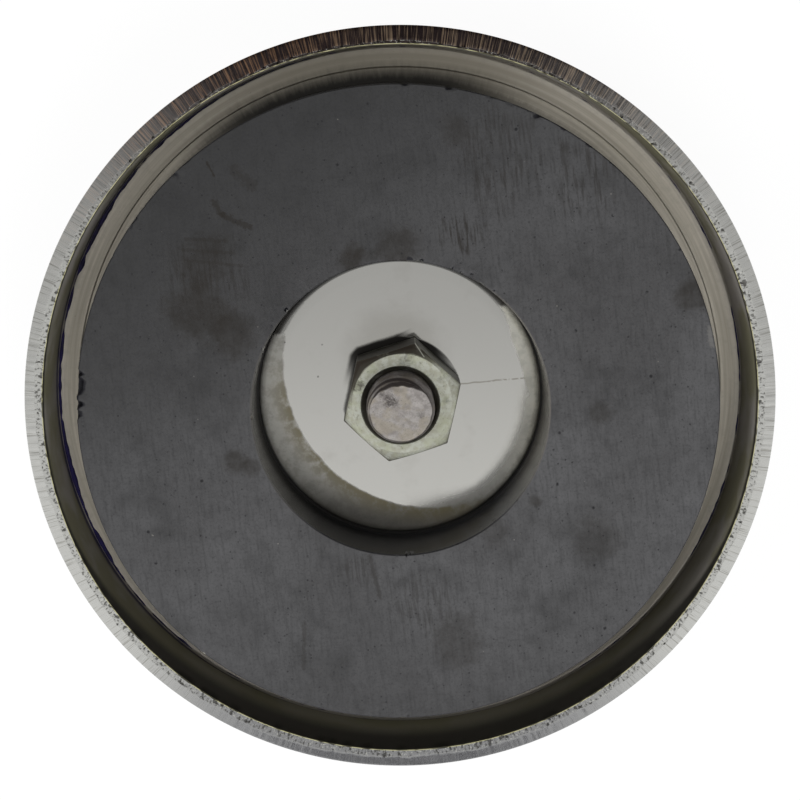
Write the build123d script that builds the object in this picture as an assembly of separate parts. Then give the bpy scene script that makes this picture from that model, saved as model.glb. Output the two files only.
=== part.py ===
from build123d import *
import os
from math import cos, hypot, radians, tan

os.makedirs("parts", exist_ok=True)

# Pot magnet: a pressed steel cup, a ferrite ring glued in it round a low pressed boss, and a
# hexagon bolt through the boss, held by a hexagon nut on the magnet side.
# Millimetres. +Z points out of the magnet's working face. The origin is on the cup's axis, level
# with the underside of the bolt head, which is the lowest point.

# Driving dimensions of the pressed cup
cup_outer_radius = 43.0
sheet_thickness = 2.1
inside_corner_radius = 0.4
rim_flat_width = 0.85
rim_bevel_drop = 0.4
rim_bevel_round = 0.1
draw_mark_set_in = 2.5
draw_mark_width = 0.16
draw_mark_depth = 0.03

# Driving dimensions of the shallow domed boss pressed up from the cup's floor
boss_height = 1.2
boss_dome_radius = 400.0
boss_shoulder_run = 0.9
boss_offset_x = 0.0
boss_offset_y = -0.3
recess_set_in = 0.7
bolt_hole_clearance = 0.5

# Driving dimensions of the ferrite ring and the glue under it. The channel is the gap between the
# ring and the cup's wall.
channel_width = 4.05
ring_bore_radius = 17.05
ring_thickness = 10.8
ring_edge_chamfer = 0.15
ring_offset_x = -0.2
ring_offset_y = -0.25
ring_bore_offset_x = 0.0
ring_bore_offset_y = -0.33
ring_to_boss_clearance = 0.2
ring_face_below_rim = 0.3
glue_thickness = 0.15
glue_set_back = 0.6

# Driving dimensions of the bolt and nut
bolt_radius = 3.97
bolt_end_below_rim = 0.06
bolt_head_height = 5.3
bolt_point_radius = 3.6
bolt_point_length = 0.7
hexagon_across_flats = 12.4
hexagon_chamfer_radius = 5.8
hexagon_chamfer_angle = 30.0
bolt_head_turn = 5.0
bolt_offset_x = 0.02
bolt_offset_y = -0.4
nut_height = 6.3
nut_turn = 17.6
nut_hexagon_offset_x = 0.2
nut_hexagon_offset_y = 0.2
nut_countersink_radius = 4.65
nut_thread_clearance = 0.05


def dome_fall(radius):
    """How far the boss's dome lies below its crown at a radius."""
    return boss_dome_radius - (boss_dome_radius**2 - radius**2) ** 0.5


# Radii that follow from the values above
cup_inner_radius = cup_outer_radius - sheet_thickness
ring_outer_radius = cup_inner_radius - channel_width
draw_mark_radius = cup_inner_radius - draw_mark_set_in
outside_corner_radius = inside_corner_radius + sheet_thickness
boss_foot_radius = ring_bore_radius - ring_to_boss_clearance
bolt_hole_radius = bolt_radius + bolt_hole_clearance
hexagon_corner_radius = hexagon_across_flats / 2 / cos(radians(30))
bolt_off_boss = hypot(bolt_offset_x - boss_offset_x, bolt_offset_y - boss_offset_y)

# Levels, from the bolt head's underside up. The head's corners and the nut's inner edge touch
# the dome, so each stands clear of it elsewhere.
recess_crown_level = bolt_head_height + dome_fall(hexagon_corner_radius + bolt_off_boss)
boss_crown_level = recess_crown_level + sheet_thickness
floor_level = boss_crown_level - boss_height
back_level = floor_level - sheet_thickness
ring_base_level = floor_level + glue_thickness
rim_level = ring_base_level + ring_thickness + ring_face_below_rim
nut_base_level = boss_crown_level - dome_fall(nut_countersink_radius - bolt_off_boss)
bolt_end_level = rim_level - bolt_end_below_rim

# How far a cutting solid runs past the face that it cuts
overshoot = 1.0


def turned(edges):
    """A solid turned about Z from edges drawn as (radius, height) that close on themselves."""
    outline = make_face(Curve() + edges)
    return revolve(Plane.XZ * outline, axis=Axis.Z)


def turned_polygon(points):
    """A solid turned about Z from a closed outline of straight (radius, height) runs."""
    return turned([Polyline(*points, close=True)])


def flared_cutter(radius, flare, height):
    """A cutter for a bore from Z = 0 to a height that opens out at 45 degrees at both ends."""
    mouth = radius + flare + overshoot
    return turned_polygon(
        [
            (0, -overshoot),
            (mouth, -overshoot),
            (radius, flare),
            (radius, height - flare),
            (mouth, height + overshoot),
            (0, height + overshoot),
        ]
    )


def cup_shell():
    """The cup with a flat floor: an outline of lines and corner arcs turned about Z."""
    low_wall = back_level + outside_corner_radius
    inner_low_wall = floor_level + inside_corner_radius
    floor_edge = cup_inner_radius - inside_corner_radius
    back = Line((0, back_level), (cup_outer_radius - outside_corner_radius, back_level))
    outer_corner = TangentArc(back @ 1, (cup_outer_radius, low_wall), tangent=(1, 0))
    bevel_foot = rim_level - rim_bevel_drop
    outer_wall = Line(outer_corner @ 1, (cup_outer_radius, bevel_foot - rim_bevel_round))
    bevel_run = sheet_thickness - rim_flat_width
    bevel_lean = rim_bevel_round / hypot(bevel_run, rim_bevel_drop)
    bevel_start = (
        cup_outer_radius - bevel_run * bevel_lean,
        bevel_foot + rim_bevel_drop * bevel_lean,
    )
    bevel_round = TangentArc(outer_wall @ 1, bevel_start, tangent=(0, 1))
    rim = Polyline(
        bevel_round @ 1,
        (cup_inner_radius + rim_flat_width, rim_level),
        (cup_inner_radius, rim_level),
        (cup_inner_radius, inner_low_wall),
    )
    inner_corner = TangentArc(rim @ 1, (floor_edge, floor_level), tangent=(0, -1))
    floor = Polyline(
        inner_corner @ 1,
        (draw_mark_radius + draw_mark_width / 2, floor_level),
        (draw_mark_radius, floor_level - draw_mark_depth),
        (draw_mark_radius - draw_mark_width / 2, floor_level),
        (0, floor_level),
        (0, back_level),
    )
    return turned([back, outer_corner, outer_wall, bevel_round, rim, inner_corner, floor])


def domed_disc(crown_level, foot_radius, foot_level, base_level):
    """A disc with a domed top that ends in an arc, its shoulder, down to a foot level."""
    dome_edge = foot_radius - boss_shoulder_run
    edge_level = crown_level - dome_fall(dome_edge)
    dome = TangentArc((0, crown_level), (dome_edge, edge_level), tangent=(1, 0))
    shoulder = TangentArc(dome @ 1, (foot_radius, foot_level), tangent=dome % 1)
    rest = Polyline(
        shoulder @ 1, (foot_radius, base_level), (0, base_level), (0, crown_level)
    )
    return Pos(boss_offset_x, boss_offset_y, 0) * turned([dome, shoulder, rest])


def steel_cup():
    """The pressed cup: shell, raised boss, the recess behind it and the bolt hole."""
    middle_level = back_level + sheet_thickness / 2
    boss = domed_disc(boss_crown_level, boss_foot_radius, floor_level, middle_level)
    recess_radius = boss_foot_radius - recess_set_in
    recess = domed_disc(recess_crown_level, recess_radius, back_level, back_level - overshoot)
    hole = Pos(bolt_offset_x, bolt_offset_y, floor_level) * Cylinder(
        bolt_hole_radius, 4 * sheet_thickness
    )
    return cup_shell() + boss - recess - hole


def ring_magnet():
    """The ferrite ring, its bore slightly out of centre, both edges of each face eased."""
    body = Cylinder(
        ring_outer_radius, ring_thickness, align=(Align.CENTER, Align.CENTER, Align.MIN)
    )
    body = chamfer(body.edges().filter_by(GeomType.CIRCLE), ring_edge_chamfer)
    body = Pos(ring_offset_x, ring_offset_y, ring_base_level) * body
    bore = flared_cutter(ring_bore_radius, ring_edge_chamfer, ring_thickness)
    return body - Pos(ring_bore_offset_x, ring_bore_offset_y, ring_base_level) * bore


def magnet_glue():
    """The thin ring of glue between the ferrite ring and the cup's floor."""
    film = Cylinder(
        ring_outer_radius - glue_set_back,
        glue_thickness,
        align=(Align.CENTER, Align.CENTER, Align.MIN),
    )
    film = Pos(ring_offset_x, ring_offset_y, floor_level) * film
    bore = Cylinder(ring_bore_radius + glue_set_back, 4 * glue_thickness)
    return film - Pos(ring_bore_offset_x, ring_bore_offset_y, floor_level) * bore


def hexagon(height, turn):
    """A hexagon prism standing on Z = 0, with one corner turned from +X by an angle in degrees."""
    outline = RegularPolygon(hexagon_corner_radius, 6)
    return Rot(0, 0, turn) * extrude(outline, height)


def chamfer_cone(height, chamfered_base):
    """The turned envelope that takes the corners off a hexagon's top, and its base if asked."""
    wide = hexagon_corner_radius + overshoot
    drop = (wide - hexagon_chamfer_radius) * tan(radians(hexagon_chamfer_angle))
    top = [(wide, height - drop), (hexagon_chamfer_radius, height), (0, height)]
    square_base = [(0, 0), (wide, 0)]
    cut_base = [(0, 0), (hexagon_chamfer_radius, 0), (wide, drop)]
    return turned_polygon((cut_base if chamfered_base else square_base) + top)


def hex_bolt():
    """The fully threaded bolt: chamfered head below, plain cylinder of the thread's size above."""
    head = hexagon(bolt_head_height, bolt_head_turn)
    cone = chamfer_cone(bolt_head_height, False)
    head = head & Pos(0, 0, bolt_head_height) * (Rot(180, 0, 0) * cone)
    point_start = bolt_end_level - bolt_point_length
    shank = turned_polygon(
        [
            (0, bolt_head_height / 2),
            (bolt_radius, bolt_head_height / 2),
            (bolt_radius, point_start),
            (bolt_point_radius, bolt_end_level),
            (0, bolt_end_level),
        ]
    )
    return Pos(bolt_offset_x, bolt_offset_y, 0) * (head + shank)


def hex_nut():
    """The nut on the boss: chamfered outside, its bore a little out of centre and countersunk."""
    body = hexagon(nut_height, nut_turn) & chamfer_cone(nut_height, True)
    body = Pos(nut_hexagon_offset_x, nut_hexagon_offset_y, 0) * body
    bore_radius = bolt_radius + nut_thread_clearance
    bore = flared_cutter(bore_radius, nut_countersink_radius - bore_radius, nut_height)
    return Pos(bolt_offset_x, bolt_offset_y, nut_base_level) * (body - bore)


export_step(steel_cup(), "parts/steel_cup.step")
export_step(ring_magnet(), "parts/ring_magnet.step")
export_step(magnet_glue(), "parts/magnet_glue.step")
export_step(hex_bolt(), "parts/hex_bolt.step")
export_step(hex_nut(), "parts/hex_nut.step")
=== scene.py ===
import logging
from dataclasses import dataclass
from enum import Enum
from math import atan2, cos, hypot, pi, radians, sin, tan
from typing import Sequence, Union

import bpy
import numpy as np
from mathutils import Matrix, Vector


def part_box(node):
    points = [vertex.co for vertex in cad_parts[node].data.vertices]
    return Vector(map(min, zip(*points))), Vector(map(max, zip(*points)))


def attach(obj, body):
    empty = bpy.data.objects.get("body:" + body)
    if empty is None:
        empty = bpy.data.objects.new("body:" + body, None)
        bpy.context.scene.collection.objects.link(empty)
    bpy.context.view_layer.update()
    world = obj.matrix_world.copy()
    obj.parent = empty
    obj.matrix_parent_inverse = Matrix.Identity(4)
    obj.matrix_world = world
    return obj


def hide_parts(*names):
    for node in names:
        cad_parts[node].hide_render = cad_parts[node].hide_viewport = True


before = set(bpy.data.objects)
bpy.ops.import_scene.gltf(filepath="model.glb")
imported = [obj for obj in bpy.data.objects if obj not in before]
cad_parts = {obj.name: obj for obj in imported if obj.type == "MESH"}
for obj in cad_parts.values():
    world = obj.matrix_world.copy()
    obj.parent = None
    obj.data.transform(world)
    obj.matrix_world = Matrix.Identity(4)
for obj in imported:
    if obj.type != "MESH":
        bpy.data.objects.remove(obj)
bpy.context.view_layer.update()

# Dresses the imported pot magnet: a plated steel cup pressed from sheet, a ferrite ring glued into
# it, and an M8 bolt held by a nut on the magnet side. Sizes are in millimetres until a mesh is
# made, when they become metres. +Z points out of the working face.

LOG = logging.getLogger("pot_magnet")
MM = 0.001
TURN = 2 * pi
BODY = "root"

Colour = tuple[float, float, float]
Pair = tuple[float, float]
Socket = bpy.types.NodeSocket
Value = Union[float, Socket]
Tint = Union[Colour, Socket]


class Zone(Enum):
    """The parts of the cup's skin that a press, a shear or dirt leaves looking different."""

    OUTSIDE = "outside"
    BEVEL = "bevel"
    FRACTURE = "fracture"
    WALL = "wall"
    FLOOR = "floor"
    BOSS = "boss"


class Slot(Enum):
    """The record's material slots."""

    CUP = "plated_cup"
    FERRITE = "ferrite"
    GLUE = "glue"
    BOLT = "plated_bolt"
    NUT = "plated_nut"


# ---------------------------------------------------------------- shapes


def straight(start: Pair, end: Pair, count: int) -> np.ndarray:
    """Evenly spaced points on a straight run, as rows of (radius, height).

    Args:
        start: First point.
        end: Last point.
        count: How many points, both ends included.

    Returns:
        An array of count rows.
    """
    return np.linspace(start, end, count)


def tangent_arc(start: Pair, direction: Pair, end: Pair, count: int) -> np.ndarray:
    """Points on the circular arc that leaves one point in a direction and ends at another.

    With chord c and unit normal n, the centre is start + n (c.c) / (2 c.n).

    Args:
        start: First point.
        direction: The arc's direction there.
        end: Last point.
        count: How many points, both ends included.

    Returns:
        An array of count rows of (radius, height).
    """
    along = np.array(direction) / hypot(*direction)
    normal = np.array([-along[1], along[0]])
    chord = np.subtract(end, start)
    reach = chord @ chord / (2 * chord @ normal)
    centre = np.add(start, reach * normal)
    first = atan2(start[1] - centre[1], start[0] - centre[0])
    last = atan2(end[1] - centre[1], end[0] - centre[0])
    sweep = (last - first + pi) % TURN - pi
    angles = first + sweep * np.linspace(0, 1, count)
    return centre + abs(reach) * np.column_stack([np.cos(angles), np.sin(angles)])


def around(columns: int, start: float = 0.0) -> np.ndarray:
    """Angles of evenly spaced columns round a turn, from a starting angle in radians."""
    return start + np.arange(columns) * TURN / columns


def bell(angles: np.ndarray, way: float, spread: float, power: int = 2) -> np.ndarray:
    """A bell round a way: exp(-(away / spread)^power), with away the angle from that way.

    Args:
        angles: Angles in radians.
        way: The way in degrees.
        spread: The bell's spread in degrees.
        power: How flat its top is, an even number.

    Returns:
        One number from 0 to 1 for each angle.
    """
    away = (angles - radians(way) + pi) % TURN - pi
    return np.exp(-((away / radians(spread)) ** power))


def blurred_noise(shape: tuple[int, int], blur: Pair, seed: int) -> np.ndarray:
    """Even random noise, blurred, that closes on itself both ways and has unit spread.

    The noise is multiplied in frequency by exp(-2 (pi f s)^2), which blurs it by a Gaussian of
    s cells.

    Args:
        shape: Rows and columns.
        blur: The Gaussian's spread in rows and in columns.
        seed: Seed of the random draws.

    Returns:
        An array of that shape.
    """
    grain = np.random.default_rng(seed).standard_normal(shape)
    rows = np.fft.fftfreq(shape[0])[:, None] * blur[0]
    columns = np.fft.rfftfreq(shape[1])[None, :] * blur[1]
    kept = np.exp(-2 * pi**2 * (rows**2 + columns**2))
    field = np.fft.irfft2(np.fft.rfft2(grain) * kept, s=shape)
    return field / field.std()


def faces_between(first: np.ndarray, second: np.ndarray) -> np.ndarray:
    """Faces between two closed rows of point numbers.

    Where one row has several points to each point of the other, each face takes that many.

    Args:
        first: Point numbers of the earlier row.
        second: Point numbers of the later row.

    Returns:
        One row of point numbers for each face.
    """
    if len(second) > len(first):
        ratio = len(second) // len(first)
        steps = np.arange(len(first))[:, None] * ratio + np.arange(ratio, -1, -1)
        return np.column_stack([first, np.roll(first, -1), second[steps % len(second)]])
    ratio = len(first) // len(second)
    steps = np.arange(len(second))[:, None] * ratio + np.arange(ratio + 1)
    return np.column_stack([first[steps % len(first)], np.roll(second, -1), second])


def skin_faces(counts: Sequence[int], closed: bool) -> list[np.ndarray]:
    """Faces of a skin made of closed rows of points, one after the other.

    Args:
        counts: How many points each row has. A row of one point is a pole.
        closed: Whether the last row joins the first.

    Returns:
        Arrays of faces, which point outwards where rows climb outside and run inwards on top.
    """
    starts = np.concatenate([[0], np.cumsum(counts)])
    rows = [np.arange(starts[i], starts[i + 1]) for i in range(len(counts))]
    pairs = list(zip(rows, rows[1:] + rows[:1])) if closed else list(zip(rows, rows[1:]))
    faces = []
    for first, second in pairs:
        if len(first) == 1:
            pole = np.full(len(second), first[0])
            faces.append(np.column_stack([pole, np.roll(second, -1), second]))
        elif len(second) == 1:
            pole = np.full(len(first), second[0])
            faces.append(np.column_stack([first, np.roll(first, -1), pole]))
        else:
            faces.append(faces_between(first, second))
    return faces


class Skin:
    """Rows of a turned skin: a radius, a height and a share of dirt and painted shade for each
    column.
    """

    def __init__(self, columns: int) -> None:
        """Starts a skin of so many columns."""
        self.columns = columns
        self.rows: list[np.ndarray] = []

    def add(self, *values: Union[float, np.ndarray]) -> None:
        """Adds a row from its radius, height and share of dirt and painted shade, each one number
        or one a column.
        """
        self.rows.append(np.stack([np.broadcast_to(value, self.columns) for value in values]))

    def values(self) -> np.ndarray:
        """The radii, the heights and the shares of dirt and painted shade, each as an array of
        rows by columns.
        """
        return np.stack(self.rows, axis=1)


def make_piece(
    name: str, points: np.ndarray, faces: Sequence[np.ndarray], sharp: float = 35.0
) -> bpy.types.Object:
    """A smooth-shaded object from points in millimetres.

    Args:
        name: The object's name.
        points: One row of x, y, z for each point.
        faces: Arrays of point numbers, one row for each face.
        sharp: Edges that turn more than this angle in degrees stay sharp.

    Returns:
        The object, at the origin.
    """
    mesh = bpy.data.meshes.new(name)
    mesh.vertices.add(len(points))
    mesh.vertices.foreach_set("co", (points * MM).astype(np.float32).ravel())
    corners = np.concatenate([group.ravel() for group in faces])
    sizes = np.concatenate([np.full(len(group), group.shape[1]) for group in faces])
    mesh.loops.add(len(corners))
    mesh.loops.foreach_set("vertex_index", corners.astype(np.int32))
    mesh.polygons.add(len(sizes))
    starts = np.concatenate([[0], np.cumsum(sizes)[:-1]])
    mesh.polygons.foreach_set("loop_start", starts.astype(np.int32))
    mesh.update(calc_edges=True)
    mesh.shade_smooth()
    mesh.set_sharp_from_angle(angle=radians(sharp))
    piece = bpy.data.objects.new(name, mesh)
    bpy.context.scene.collection.objects.link(piece)
    return piece


def keep_values(piece: bpy.types.Object, name: str, values: np.ndarray) -> None:
    """Stores one number a point on a piece, for its material to read.

    Args:
        piece: The piece.
        name: The attribute's name.
        values: One number for each point.
    """
    layer = piece.data.attributes.new(name, "FLOAT", "POINT")
    layer.data.foreach_set("value", values.astype(np.float32))


def settle(
    piece: bpy.types.Object, material: bpy.types.Material, node: str
) -> None:
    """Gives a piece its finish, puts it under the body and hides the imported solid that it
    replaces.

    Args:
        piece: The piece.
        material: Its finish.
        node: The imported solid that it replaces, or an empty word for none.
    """
    piece.data.materials.append(material)
    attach(piece, BODY)
    if node:
        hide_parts(node)
    LOG.info("%s: %d faces", piece.name, len(piece.data.polygons))


# ---------------------------------------------------------------- finishes


class Graph:
    """One material's shader nodes, added and linked through short calls."""

    def __init__(self, name: str) -> None:
        """Starts a material whose patterns are laid out in millimetres on the object."""
        self.material = bpy.data.materials.new(name)
        self.material.use_nodes = True
        self.tree = self.material.node_tree
        self.shader = self.tree.nodes["Principled BSDF"]
        place = self.node("ShaderNodeTexCoord").outputs["Object"]
        self.place = self.vector("SCALE", place, scale=1 / MM)
        parts = self.node("ShaderNodeSeparateXYZ")
        self.feed(parts.inputs[0], self.place)
        self.x, self.y, self.z = parts.outputs

    def node(self, kind: str, **settings: object) -> bpy.types.Node:
        """A new node of a kind, with its settings."""
        node = self.tree.nodes.new(kind)
        for name, value in settings.items():
            setattr(node, name, value)
        return node

    def feed(self, socket: Socket, value: object) -> None:
        """Links a socket to a node's output, or sets its plain value."""
        if isinstance(value, bpy.types.NodeSocket):
            self.tree.links.new(value, socket)
        elif isinstance(value, tuple) and socket.type == "RGBA":
            socket.default_value = (*value, 1.0)
        else:
            socket.default_value = value

    def math(self, operation: str, *values: Value, clamp: bool = False) -> Socket:
        """The result of a math node on up to three values."""
        node = self.node("ShaderNodeMath", operation=operation, use_clamp=clamp)
        for socket, value in zip(node.inputs, values):
            self.feed(socket, value)
        return node.outputs[0]

    def times(self, first: Value, *others: Value, clamp: bool = False) -> Socket:
        """The product of two or more numbers."""
        for other in others:
            first = self.math("MULTIPLY", first, other, clamp=clamp)
        return first

    def less(self, value: Value, taken: Value) -> Socket:
        """A number less another."""
        return self.math("SUBTRACT", value, taken)

    def scaled(self, value: Value, factor: Value, added: Value, clamp: bool = False) -> Socket:
        """A number times a factor, plus another number."""
        return self.math("MULTIPLY_ADD", value, factor, added, clamp=clamp)

    def larger(self, first: Value, second: Value) -> Socket:
        """The larger of two numbers."""
        return self.math("MAXIMUM", first, second)

    def vector(self, operation: str, *values: object, scale: float = 1.0) -> Socket:
        """The result of a vector math node."""
        node = self.node("ShaderNodeVectorMath", operation=operation)
        for socket, value in zip(node.inputs, values):
            self.feed(socket, value)
        if operation == "SCALE":
            node.inputs["Scale"].default_value = scale
        return node.outputs["Value" if operation == "LENGTH" else "Vector"]

    def joined(self, x: Value, y: Value, z: Value) -> Socket:
        """A vector joined from three numbers."""
        node = self.node("ShaderNodeCombineXYZ")
        for socket, value in zip(node.inputs, (x, y, z)):
            self.feed(socket, value)
        return node.outputs[0]

    def noise(
        self, place: Socket, scale: float, detail: float = 2.0, rough: float = 0.5
    ) -> Socket:
        """Noise from 0 to 1 with about scale features a millimetre.

        Args:
            place: The pattern's coordinates.
            scale: Features for each unit of the coordinates.
            detail: How many finer layers are added.
            rough: How strong the finer layers are.

        Returns:
            The noise.
        """
        node = self.node("ShaderNodeTexNoise")
        self.feed(node.inputs["Vector"], place)
        node.inputs["Scale"].default_value = scale
        node.inputs["Detail"].default_value = detail
        node.inputs["Roughness"].default_value = rough
        return node.outputs["Fac"]

    def cells(self, place: Socket, scale: float) -> Socket:
        """Distance to the nearest of many scattered points, in cell widths."""
        node = self.node("ShaderNodeTexVoronoi")
        self.feed(node.inputs["Vector"], place)
        node.inputs["Scale"].default_value = scale
        return node.outputs["Distance"]

    def rise(self, value: Value, low: float, high: float, top: float = 1.0) -> Socket:
        """Goes smoothly from 0 to top as a value goes from low to high, which may be reversed."""
        node = self.node("ShaderNodeMapRange", interpolation_type="SMOOTHSTEP")
        backwards = low > high
        ends = (high, low, top, 0.0) if backwards else (low, high, 0.0, top)
        self.feed(node.inputs["Value"], value)
        for name, end in zip(("From Min", "From Max", "To Min", "To Max"), ends):
            node.inputs[name].default_value = end
        return node.outputs["Result"]

    def blend(self, share: Value, first: Tint, second: Tint) -> Socket:
        """A colour between two, by a share from 0 to 1."""
        node = self.node("ShaderNodeMix", data_type="RGBA")
        self.feed(node.inputs[0], share)
        self.feed(node.inputs[6], first)
        self.feed(node.inputs[7], second)
        return node.outputs[2]

    def layers(self, base: Tint, *covers: tuple[Value, Tint]) -> Socket:
        """A base colour under covers, each a share from 0 to 1 and a colour."""
        for share, tint in covers:
            base = self.blend(share, base, tint)
        return base

    def level(self, share: Value, first: Value, second: Value) -> Socket:
        """A number between two, by a share from 0 to 1."""
        node = self.node("ShaderNodeMix", data_type="FLOAT")
        self.feed(node.inputs[0], share)
        self.feed(node.inputs[2], first)
        self.feed(node.inputs[3], second)
        return node.outputs[0]

    def kept(self, name: str) -> Socket:
        """A number that the piece's points hold."""
        return self.node("ShaderNodeAttribute", attribute_name=name).outputs["Fac"]

    def radius(self, centre: Pair = (0.0, 0.0)) -> Socket:
        """Distance in plan from a centre."""
        across = self.less(self.x, centre[0])
        along = self.less(self.y, centre[1])
        return self.vector("LENGTH", self.joined(across, along, 0.0))

    def spokes(self, reach: float, stretch: float) -> Socket:
        """Coordinates whose patterns run along the radius and up the walls.

        Args:
            reach: The radius at which the pattern round the axis has its true size.
            stretch: How much of the radius and height is kept in them.

        Returns:
            The coordinates.
        """
        heading = self.vector("NORMALIZE", self.joined(self.x, self.y, 0.0))
        spread = self.vector("SCALE", heading, scale=reach)
        lift = self.times(self.math("ADD", self.radius(), self.z), stretch)
        return self.vector("ADD", spread, self.joined(0.0, 0.0, lift))

    def spot(self, centre: Pair, size: float, ragged: Socket) -> Socket:
        """A soft-edged patch on the plan: 1 inside, 0 outside, its edge moved by noise.

        Args:
            centre: Middle of the patch.
            size: Its radius.
            ragged: Noise from 0 to 1 that moves the edge.

        Returns:
            The mask.
        """
        away = self.math("DIVIDE", self.radius(centre), size)
        return self.rise(self.math("ADD", away, ragged), 1.6, 0.9)

    def along(self, start: Pair, end: Pair) -> tuple[Socket, Socket, float]:
        """Distances in plan along a line from its start and to its left, and its length."""
        run = hypot(end[0] - start[0], end[1] - start[1])
        way = [(b - a) / run for a, b in zip(start, end)]
        x = self.less(self.x, start[0])
        y = self.less(self.y, start[1])
        far = self.scaled(x, way[0], self.times(y, way[1]))
        return far, self.scaled(y, way[0], self.times(x, -way[1])), run

    def stroke(self, start: Pair, end: Pair, width: float, ragged: Socket) -> Socket:
        """A soft-edged stroke on the plan: 1 on it, 0 off it, its edge moved by noise.

        The distance is taken to the nearest place on the straight line between its ends.

        Args:
            start: One end.
            end: The other end.
            width: Half its width.
            ragged: Noise from 0 to 1 that moves the edge.

        Returns:
            The mask.
        """
        far, off, run = self.along(start, end)
        past = self.less(far, self.math("MINIMUM", self.larger(far, 0.0), run))
        away = self.math("DIVIDE", self.vector("LENGTH", self.joined(past, off, 0.0)), width)
        return self.rise(self.math("ADD", away, ragged), 1.6, 0.9)

    def off_hexagon(self, centre: Pair, flats: float, turn: float) -> Socket:
        """Distance in plan outside a hexagon: the largest of its three spans, less half."""
        x = self.less(self.x, centre[0])
        y = self.less(self.y, centre[1])
        spans = []
        for way in (30.0, 90.0, 150.0):
            angle = radians(way + turn)
            span = self.scaled(x, cos(angle), self.times(y, sin(angle)))
            spans.append(self.math("ABSOLUTE", span))
        widest = self.larger(self.larger(spans[0], spans[1]), spans[2])
        return self.less(widest, flats / 2)

    def toward(self, way: float) -> Socket:
        """Cosine of the angle in plan between a point's direction and a way in degrees."""
        lean = self.times(self.y, sin(radians(way)))
        lean = self.scaled(self.x, cos(radians(way)), lean)
        return self.math("DIVIDE", lean, self.larger(self.radius(), 1.0))

    def ragged(self, scale: float, strength: float) -> Socket:
        """Noise about a half, stretched by a strength, that breaks up the edge of a patch."""
        edge = self.noise(self.place, scale, 4.0, 0.7)
        return self.scaled(edge, strength, (1 - strength) / 2)

    def bump(self, height: Socket, depth: float, strength: float = 1.0) -> None:
        """Adds relief of a depth in millimetres to the shader, on top of what it has."""
        node = self.node("ShaderNodeBump")
        node.inputs["Strength"].default_value = strength
        node.inputs["Distance"].default_value = depth * MM
        self.feed(node.inputs["Height"], height)
        old = self.shader.inputs["Normal"].links
        if old:
            self.feed(node.inputs["Normal"], old[0].from_socket)
        self.feed(self.shader.inputs["Normal"], node.outputs[0])

    def finish(self, colour: Tint, rough: Value) -> bpy.types.Material:
        """Connects the colour and roughness and returns the material."""
        self.feed(self.shader.inputs["Base Color"], colour)
        self.feed(self.shader.inputs["Roughness"], rough)
        return self.material


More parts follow.
